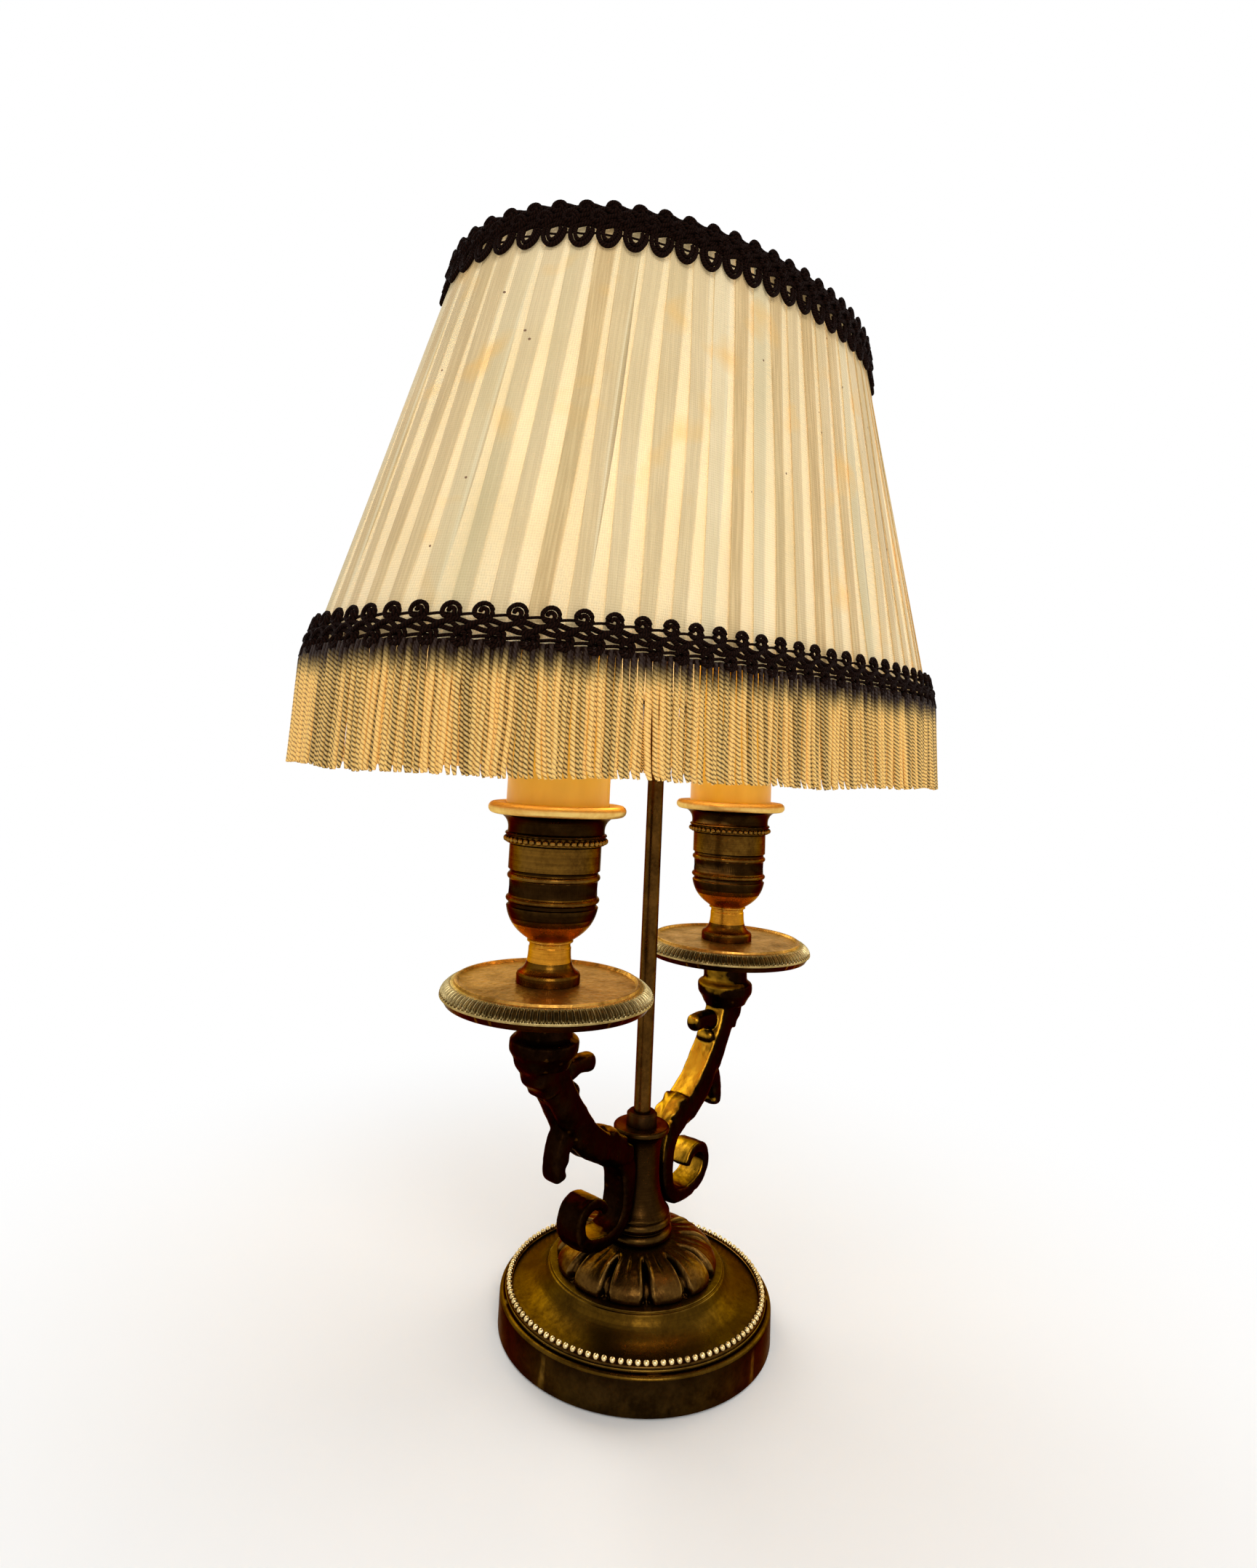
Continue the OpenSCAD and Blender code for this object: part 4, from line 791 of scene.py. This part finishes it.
def trunk_relief(along, across, lower):
    """A smooth hollow on the upper side, between rolled edges; long leaves that overlap below."""
    off = np.abs(across)
    saw = np.mod(along * 3.2 + 0.5 * off, 1.0)
    leaf = saw * (1 - smooth_step(saw, 0.85, 1.0))
    below = 1.1 * leaf * (0.4 + off) - 0.7 * hump(off, 0, 0.12) + 0.25 * hump(off, 0.45, 0.1)
    above = 0.5 * hump(off, 0.85, 0.16) - 0.9 * (1 - off ** 2) * smooth_step(along, 0.18, 0.34)
    return np.where(lower > 0, below, above)


def strap_relief(along, across, lower):
    """A strap with a raised line near each edge, and a crease across its outer side."""
    off = np.abs(across)
    crease = hump(along, 0.62, 0.012) * (lower < 0)
    return 0.4 * smooth_step(off, 0.7, 0.9) - 0.2 - 0.5 * crease - 0.3 * (1 - off ** 2) * (lower > 0)


def leaf_relief(count, depth):
    """A leaf with a middle vein and side veins that sweep back to its notched edges, on its outer side."""
    def relief(along, across, lower):
        off = np.abs(across)
        wave = np.cos(TAU * (along * count + 0.7 * off))
        outer = depth * (0.7 * off * wave + 0.5 * hump(off, 0, 0.14) - 0.2)
        return np.where(lower < 0, outer, -0.3 * (1 - off ** 2))
    return relief


def flare_relief(along, across, lower):
    """The broad flare: smooth and a little hollow outside, with a rolled lip at its end."""
    off = np.abs(across)
    return np.where(lower > 0, 0.9 * hump(along, 0.84, 0.07) - 0.7 * (1 - off ** 2) * (along < 0.8),
                    0.3 * np.cos(TAU * 3 * along))


def bud_relief(along, across, lower):
    return 0.15 * np.sin(along * 9)


def scroll_arm():
    """The right-hand casting: trunk, C-scroll, hanging leaf, bud and flaring leaf, fused and cast."""
    s, n = SPAN, NOZZLE_Z
    trunk = limb([(s - 0.5, n + 1, 9.0), (s - 1, n - 3, 8.4), (s - 2, n - 9, 6.2), (s - 8.3, n - 18.2, 5.2),
                  (s - 14, n - 25.5, 5.4), (33, n - 33, 5.6), (23.7, n - 38.6, 4.8), (15.6, n - 42.8, 4.4),
                  (9.4, n - 44.4, 3.4)], 10.4, trunk_relief)
    scroll = limb([(23.7, n - 38.6, 4.6), (15.6, n - 43, 4.6), (11.8, n - 49.5, 4.1), (11.3, n - 56.5, 3.5),
                   (12.4, n - 62, 3.2), (16, n - 66, 2.9), (22, n - 67.3, 2.6), (28.5, n - 66.6, 2.6),
                   (33.4, n - 64.4, 2.5), (35.8, n - 60, 2.4), (34.5, n - 55.6, 2.3), (30.4, n - 53.9, 2.1),
                   (25.8, n - 55.4, 1.9), (23.2, n - 58.8, 1.6)], 10.0, strap_relief, 1.4, 4.0)
    cover = limb([(23.5, n - 34.6, 1.6), (17.5, n - 37.4, 2.4), (13.2, n - 42.6, 2.5), (10.8, n - 49, 2.0),
                  (9.9, n - 55.5, 1.0)], 9.8, leaf_relief(4, 1.0), 1.2)
    hanging = limb([(s - 14.5, n - 27, 5.0), (s - 9.8, n - 32.5, 4.0), (s - 7.8, n - 38.5, 3.0),
                    (s - 8.6, n - 43.4, 2.2)], 7.4, leaf_relief(3, -0.6))
    bud = limb([(s - 9, n - 11.5, 3.4), (s - 17, n - 10.2, 3.1), (s - 24, n - 10.8, 2.9)],
               6.2, bud_relief, 2.2, 2.4)
    chin = limb([(s - 9, n - 18.5, 3.2), (s - 12.5, n - 17.2, 2.6), (s - 15.4, n - 16.8, 1.8)],
                7.6, bud_relief, 1.8, 2.4)
    flare = limb([(s - 2, n - 15, 3.6), (s + 1.5, n - 9, 4.8), (s + 5.6, n - 3.5, 4.0), (s + 8.2, n + 0.4, 2.6),
                  (s + 8.8, n + 2.2, 1.8)], 11.0, flare_relief, 1.2)
    nozzle = turned("nozzle", [(NIPPLE_HOLE_R, n - 7), (8.2, n - 7), (9.3, n - 4.6), (10.9, n - 2.2),
                    (11.1, n - 0.6), (11.1, n + 1.0), (10.4, n + 1.6), (9.2, n + 2.2), (8.8, n + 3.4),
                    (8.8, n + NOZZLE_H), (NIPPLE_HOLE_R, n + NOZZLE_H)], (s, 0.0), 96, 0.3)
    arm = joined([trunk, scroll, cover, hanging, bud, chin, flare, nozzle])
    modified(arm, "REMESH", mode="VOXEL", voxel_size=0.42 * MM)
    modified(arm, "SMOOTH", factor=0.5, iterations=5)
    lumps = bpy.data.textures.new("casting_lumps", "CLOUDS")
    lumps.noise_scale = 5 * MM
    modified(arm, "DISPLACE", texture=lumps, strength=0.5 * MM, mid_level=0.5, texture_coords="LOCAL")
    return arm


def arms():
    arm = scroll_arm()
    other = arm.copy()
    other.data = arm.data.copy()
    bpy.context.scene.collection.objects.link(other)
    other.data.transform(Matrix.Rotation(math.pi, 4, "Z"))
    dressed(arm, "cast_arm_right", dark_casting, "lamp", "cast_bronze", "arm_right", angle=180)
    dressed(other, "cast_arm_left", dark_casting, "lamp", "cast_bronze", "arm_left", angle=180)


for candle_side, candle_name in ((-1, "left"), (1, "right")):
    drip_pan(candle_side, candle_name)
    candle_cup(candle_side, candle_name)
arms()

# Shade

SHADE_TOP, SHADE_BOTTOM, SHADE_TURN = 362.5, 217.3, math.radians(-9.5)
SHADE_H = SHADE_TOP - SHADE_BOTTOM
TOP_AB, BOTTOM_AB, TOP_N, BOTTOM_N = (93.0, 62.0), (130.5, 73.0), 2.1, 2.6
PLEATS, CLOTH_TOP, CLOTH_BOTTOM = 64, 360.1, 219.5
FRINGE_TOP, FRINGE_BOTTOM = 217.0, 184.3
OVAL_STEPS = 2880


def oval_at(height):
    """The shade's oval at a height: share of the way round, places, outward directions, its length."""
    share_up = min(max((height - SHADE_BOTTOM) / SHADE_H, 0.0), 1.0)
    a, b = (low + share_up * (high - low) for low, high in zip(BOTTOM_AB, TOP_AB))
    n = BOTTOM_N + share_up * (TOP_N - BOTTOM_N)
    t = np.linspace(0, TAU, OVAL_STEPS + 1)
    c, s = np.cos(t), np.sin(t)
    place = np.stack([a * np.sign(c) * np.abs(c) ** (2 / n), b * np.sign(s) * np.abs(s) ** (2 / n)], -1)
    out = np.stack([np.sign(c) * np.abs(c) ** (2 - 2 / n) / a, np.sign(s) * np.abs(s) ** (2 - 2 / n) / b], -1)
    out /= np.linalg.norm(out, axis=1)[:, None]
    way = np.concatenate([[0], np.cumsum(np.linalg.norm(np.diff(place, axis=0), axis=1))])
    return way / way[-1], place, out, way[-1]


OVALS = [oval_at(SHADE_BOTTOM + step) for step in range(math.ceil(SHADE_H) + 1)]


def on_shade(share, height, off):
    """Points on the turned shade at a share of the way round, a height, and a distance outwards."""
    share, height, off = np.broadcast_arrays(*(np.asarray(v, float) for v in (share, height, off)))
    spots = np.empty((*share.shape, 3))
    storey = np.clip(height - SHADE_BOTTOM, 0, len(OVALS) - 1.001)
    for floor_number in np.unique(storey.astype(int)):
        here = storey.astype(int) == floor_number
        part = (storey[here] - floor_number)[:, None]
        flat = np.zeros((here.sum(), 2))
        for (table, place, out, _), weight in ((OVALS[floor_number], 1 - part), (OVALS[floor_number + 1], part)):
            way = np.mod(share[here], 1.0)
            at = np.stack([np.interp(way, table, place[:, i]) for i in (0, 1)], -1)
            away = np.stack([np.interp(way, table, out[:, i]) for i in (0, 1)], -1)
            flat += weight * (at + away * off[here][:, None])
        c, s = math.cos(SHADE_TURN), math.sin(SHADE_TURN)
        spots[here] = np.stack([flat[:, 0] * c - flat[:, 1] * s, flat[:, 0] * s + flat[:, 1] * c,
                                height[here]], -1)
    return spots


def woven(name, points, faces, uv, uv_name):
    """A soft piece from points in millimetres, four-sided faces and a pair of UV for each face's corner."""
    mesh = bpy.data.meshes.new(name)
    mesh.vertices.add(len(points))
    mesh.vertices.foreach_set("co", (points * MM).ravel())
    mesh.loops.add(faces.size)
    mesh.loops.foreach_set("vertex_index", faces.ravel())
    mesh.polygons.add(len(faces))
    mesh.polygons.foreach_set("loop_start", np.arange(0, faces.size, 4))
    mesh.polygons.foreach_set("loop_total", np.full(len(faces), 4))
    mesh.uv_layers.new(name=uv_name).data.foreach_set("uv", uv.ravel())
    mesh.update(calc_edges=True)
    mesh.validate()
    piece = bpy.data.objects.new(name, mesh)
    bpy.context.scene.collection.objects.link(piece)
    return piece


def grid_faces(rows, columns, loop_rows=False, loop_columns=True):
    """Faces of a grid of points, closed on itself one way or both."""
    i, j = np.meshgrid(np.arange(rows if loop_rows else rows - 1),
                       np.arange(columns if loop_columns else columns - 1), indexing="ij")
    i2, j2 = (i + 1) % rows, (j + 1) % columns
    return np.stack([i * columns + j, i * columns + j2, i2 * columns + j2, i2 * columns + j], -1).reshape(-1, 4)


def pleated_cover():
    """The cloth: one strip round the shade in knife pleats, each lying to the right of its own fold.
    From the fold a pleat is three layers deep, then one layer shows until the next fold covers it."""
    rows = 26
    habit = random.normal(0, 1, (PLEATS, 4))
    heights = np.linspace(CLOTH_BOTTOM, CLOTH_TOP, rows)
    grid, across = [], []
    for height in heights:
        up = (height - CLOTH_BOTTOM) / (CLOTH_TOP - CLOTH_BOTTOM)
        slack = math.sin(math.pi * up)
        length = oval_at(height)[3]
        pitch = length / PLEATS
        way, lift, strip = [], [], []
        for number, (tuck_habit, lean, phase, puff) in enumerate(habit):
            tuck = (PLEAT_W_MM - pitch) / 2 * (1 + 0.16 * tuck_habit * slack)
            lean = 1.3 * lean * slack * math.sin(math.pi * up + phase)
            layers = 0.42 + 0.05 * puff
            fold = pitch + tuck
            for at, high, used in (
                    (-tuck, 0.55, 0.0), (-tuck + 0.15, 0.2, 0.25), (-0.5 * tuck, 0.0, 0.5 * tuck),
                    (0.0, 0.05, tuck), (0.5 * (pitch - tuck), 0.3, 0.5 * pitch + 0.5 * tuck),
                    (pitch - tuck, 1.05, pitch), (pitch - 0.6 * tuck, 1.6, pitch + 0.4 * tuck),
                    (pitch - 0.3, 1.9, fold - 0.35), (pitch - 0.05, 1.75, fold - 0.1), (pitch, 1.5, fold),
                    (pitch - 0.08, 1.25, fold + 0.15), (pitch - 0.5 * tuck, 0.85, fold + 0.5 * tuck),
                    (pitch - tuck + 0.2, 0.75, PLEAT_W_MM - 0.2)):
                way.append(number * pitch + lean + at)
                lift.append(high * layers)
                strip.append(number * PLEAT_W_MM + used)
        grid.append(on_shade(-np.array(way) / length, height, np.array(lift) - 1.0))
        across.append(strip)
    across = np.array(across)
    columns = across.shape[1]
    faces = grid_faces(rows, columns)[:, ::-1]
    u = np.concatenate([across, across[:, :1] + PLEATS * PLEAT_W_MM], 1)
    v = np.broadcast_to(((heights - CLOTH_BOTTOM) * CLOTH_H_MM / (CLOTH_TOP - CLOTH_BOTTOM))[:, None], u.shape)
    uv = np.stack([u, v], -1) * MM
    corners = np.stack([uv[1:, :-1], uv[1:, 1:], uv[:-1, 1:], uv[:-1, :-1]], 2).reshape(-1, 4, 2)
    piece = woven("cloth", np.array(grid).reshape(-1, 3), faces, corners, "cloth")
    return dressed(piece, "pleated_cover", gauze, "shade", "pleated_cloth", "shade_cover", angle=180)


def cord(line, radius, sides=6, closed=False, pale=3, slip=0.0):
    """A tube along a line: its points, faces, and UV of turns round and metres along. pale, from 0 to 7,
    goes into the UV's whole part, and slip moves its twist along."""
    rings = len(line)
    radius = np.broadcast_to(radius, (rings,))
    tangent = np.roll(line, -1, 0) - np.roll(line, 1, 0) if closed else np.gradient(line, axis=0)
    tangent /= np.linalg.norm(tangent, axis=1)[:, None]
    guide = np.array([0.02, 0.03, 1.0]) if np.abs(tangent[:, 2]).mean() < 0.8 else np.array([1.0, 0.05, 0.02])
    side = np.cross(tangent, guide)
    side /= np.linalg.norm(side, axis=1)[:, None]
    up = np.cross(side, tangent)
    turn = np.arange(sides) * TAU / sides
    round_it = side[:, None] * np.cos(turn)[None, :, None] - up[:, None] * np.sin(turn)[None, :, None]
    points = (line[:, None] + radius[:, None, None] * round_it).reshape(-1, 3)
    faces = grid_faces(rings, sides, loop_rows=closed)
    steps = np.linalg.norm(np.diff(np.concatenate([line, line[:1]]), axis=0), axis=1)
    along = np.concatenate([[0], np.cumsum(steps)]) * MM
    i, j = np.divmod(np.arange(len(faces)), sides)
    near, far = along[i], along[i + 1]
    near, far, start, end = near + slip, far + slip, pale + j / sides, pale + (j + 0.999) / sides
    uv = np.stack([np.stack([start, near], -1), np.stack([end, near], -1),
                   np.stack([end, far], -1), np.stack([start, far], -1)], 1)
    return points, faces, uv


def corded(name, cords):
    """Many cords as one piece."""
    count, points, faces, uvs = 0, [], [], []
    for spots, sides, uv in cords:
        points.append(spots)
        faces.append(sides + count)
        uvs.append(uv)
        count += len(spots)
    return woven(name, np.concatenate(points), np.concatenate(faces), np.concatenate(uvs), "cord")


def round_shade(height, off, radius, waves=0, wave_mm=0.0, phase=0.0):
    """A cord that runs right round the shade, waving up and down."""
    steps = max(8 * waves, 360)
    share = np.arange(steps) / steps
    wave = TAU * (waves * share + phase)
    line = on_shade(share, height + wave_mm * np.sin(wave), off + 0.3 * np.cos(wave))
    return cord(line, radius, 6, True)


def curl(direction, size, steps=30):
    """A gimp curl in its own plane: along, up and out. It leaves the band, loops round and winds in."""
    t = np.linspace(0, 1, steps)
    radius = size * (1 - 0.78 * t ** 1.1)
    turn = -math.pi / 2 + 1.7 * TAU * t
    return radius * np.cos(turn), direction * (size + radius * np.sin(turn)), 0.9 * np.sin(math.pi * t) ** 0.5


def gimp_below():
    """The lower gimp: two rows of curls, half a step apart, on a core of straight and waving cords."""
    middle, count, length = 223.4, 78, oval_at(223.4)[3]
    cords = []
    for direction, phase, size, start in ((1, 0.0, 2.9, 0.9), (-1, 0.5, 2.6, -0.8)):
        for number in range(count):
            along, up, out = curl(direction, size)
            slip = random.normal(0, 0.12, 2)
            share = ((number + phase) * length / count + along + slip[0]) / length
            cords.append(cord(on_shade(share, middle + start + up + slip[1], 1.0 + out), 0.68))
    for height, off, radius, waves, wave_mm, phase in (
            (1.0, 1.4, 0.78, count, 0.5, 0.0), (-0.9, 1.4, 0.78, count, 0.5, 0.5), (0.0, 2.0, 0.7, count, 1.0, 0.25),
            (3.0, 0.9, 0.42, count, 0.2, 0.5), (-2.9, 0.9, 0.5, count, 0.2, 0.0), (-4.5, 0.6, 0.8, count, 0.3, 0.0)):
        cords.append(round_shade(middle + height, off, radius, waves, wave_mm, phase))
    return dressed(corded("gimp", cords), "gimp_bottom", gimp_yarn, "shade", "braid", "bottom_braid", angle=180)


def hanging_loop(half, drop, lean, steps=22):
    """A loop that hangs from the band as a U: along and up."""
    t = np.linspace(-1, 1, steps)
    turn = t * math.pi * 0.62
    return half * np.sin(turn) * (1 + lean * (1 - np.abs(t))), -drop * (0.5 + 0.5 * np.cos(turn * 1.3))


def gimp_above():
    """The upper gimp: two rows of curls over a band of cords, and double loops that hang from it."""
    middle, count, length = 354.6, 60, oval_at(352.0)[3]
    cords = []
    for number in range(count):
        slip = random.normal(0, 0.12, 2)
        for half, drop, top, radius, out in ((3.4, 7.2, 0.2, 0.8, 0.9), (1.95, 5.3, 0.0, 0.72, 1.1)):
            along, up = hanging_loop(half, drop, 0.0)
            share = (number * length / count + along + slip[0]) / length
            cords.append(cord(on_shade(share, middle + top + up + slip[1], out), radius))
        for phase, start, size in ((0.5, 0.4, 2.7), (0.0, 4.2, 2.6)):
            along, up, out = curl(1, size)
            share = ((number + phase) * length / count + along + slip[0]) / length
            cords.append(cord(on_shade(share, middle + start + up + slip[1], 1.2 + out), 0.76))
    for height, off, radius, waves, wave_mm, phase in (
            (0.3, 1.2, 0.7, count, 0.5, 0.0), (1.9, 1.3, 0.8, count, 0.6, 0.5), (3.9, 1.4, 0.8, count, 0.6, 0.0),
            (5.9, 1.4, 0.8, count, 0.6, 0.5), (7.6, 1.2, 0.8, count, 0.5, 0.0), (4.9, 0.2, 1.2, 0, 0.0, 0.0),
            (2.9, 0.2, 1.2, 0, 0.0, 0.0), (-2.6, 0.9, 0.34, count, 0.15, 0.5)):
        cords.append(round_shade(middle + height, off, radius, waves, wave_mm, phase))
    return dressed(corded("gimp", cords), "gimp_top", gimp_yarn, "shade", "braid", "top_braid", angle=180)


def cord_fringe():
    """Bullion fringe: twisted loops that hang from the gimp in two rows, bunched here and there, with
    thicker light ends where each loop turns back up."""
    count, rings = 600, 17
    length = OVALS[0][3]
    way = np.arange(count) / count
    lean = sum(size * np.sin(TAU * (waves * way + random.random()))
               for waves, size in ((41, 0.6), (67, 0.45), (97, 0.35), (23, 0.5)))
    short = 0.4 * np.sin(TAU * 5 * way) + 0.3 * np.sin(TAU * 13 * way)
    down = np.linspace(0, 1, rings) ** 0.9
    toe = np.clip((down - 0.94) / 0.06, 0, 1)
    cords = []
    for number in range(count):
        start, end = FRINGE_TOP + 2.5, FRINGE_BOTTOM + 0.9 + short[number] + abs(random.normal(0, 0.3))
        height = start + (end - start) * down
        along = number * length / count + lean[number] * down ** 2
        along += 0.12 * np.sin(9 * down + random.random() * 6)
        out = 0.7 + 0.4 * down + 0.3 * random.normal() * down ** 2 + 0.75 * (number % 2) + 0.3 * toe
        radius = 0.72 + 0.22 * toe
        radius[-1] = 0.45
        line = on_shade((along + 0.4 * toe ** 2) / length, np.maximum(height, 0), out)
        cords.append(cord(line, radius, pale=random.integers(0, 8), slip=random.random() * 3 * MM))
    return dressed(corded("fringe", cords), "cord_fringe", bullion_yarn, "shade", "fringe_cord", "fringe", angle=180)


cloth_piece = pleated_cover()
trims = [gimp_above(), gimp_below(), cord_fringe()]

# Floor and light

ROOM_LIGHT = 0.5


def floor_paint(name):
    """Pale paint. It keeps the lamp's shadow near the foot and turns to the backdrop's white further out."""
    material, tree, place = new_material(name)
    away = add(tree, "ShaderNodeVectorMath", {0: place}, operation="LENGTH").outputs["Value"]
    far = add(tree, "ShaderNodeMapRange", {"Value": away, "From Min": 0.06, "From Max": 0.3},
              interpolation_type="SMOOTHSTEP")
    path = add(tree, "ShaderNodeLightPath")
    seen = add(tree, "ShaderNodeMath", {0: path.outputs["Is Camera Ray"], 1: path.outputs["Is Glossy Ray"]},
               operation="MAXIMUM")
    seen = add(tree, "ShaderNodeMath", {0: seen, 1: path.outputs["Is Transmission Ray"]}, operation="MAXIMUM")
    share = add(tree, "ShaderNodeMath", {0: seen, 1: far}, operation="MULTIPLY")
    paint = add(tree, "ShaderNodeBsdfPrincipled", {"Base Color": "#F4F3F0", "Roughness": 0.8})
    white = add(tree, "ShaderNodeEmission", {"Color": "#FFFFFF", "Strength": 1.0})
    both = add(tree, "ShaderNodeMixShader", {0: share, 1: paint, 2: white})
    add(tree, "ShaderNodeOutputMaterial", {"Surface": both})
    return material


bpy.ops.object.select_all(action="DESELECT")
bpy.ops.mesh.primitive_plane_add(size=12)
floor = bpy.context.object
floor.name = "floor"
floor.data.materials.append(floor_paint("floor_paint"))

for light_name, spot, size, power in (("key", (-0.9, -1.0, 1.1), 0.8, 11.0), ("fill", (1.0, -0.4, 0.7), 0.9, 4.0),
                                      ("back", (0.3, 1.1, 1.0), 0.9, 6.0)):
    bpy.ops.object.light_add(type="AREA", location=spot)
    light = bpy.context.object
    light.name = light_name
    light.data.shape = "DISK"
    light.data.size = size
    light.data.energy = power
    light.rotation_euler = (Vector((0, 0, 0.2)) - Vector(spot)).to_track_quat("-Z", "Y").to_euler()

world = bpy.data.worlds.new("studio")
bpy.context.scene.world = world
world.use_nodes = True
world.node_tree.nodes.clear()
path = add(world.node_tree, "ShaderNodeLightPath")
seen = add(world.node_tree, "ShaderNodeMath", {0: path.outputs["Is Camera Ray"], 1: path.outputs["Is Glossy Ray"]},
           operation="MAXIMUM")
seen = add(world.node_tree, "ShaderNodeMath", {0: seen, 1: path.outputs["Is Transmission Ray"]},
           operation="MAXIMUM")
strength = add(world.node_tree, "ShaderNodeMapRange", {"Value": seen, "To Min": ROOM_LIGHT, "To Max": 1.0})
sky = add(world.node_tree, "ShaderNodeBackground", {"Color": "#FFFFFF", "Strength": strength})
add(world.node_tree, "ShaderNodeOutputWorld", {"Surface": sky})
bpy.context.scene.view_settings.view_transform = "Standard"
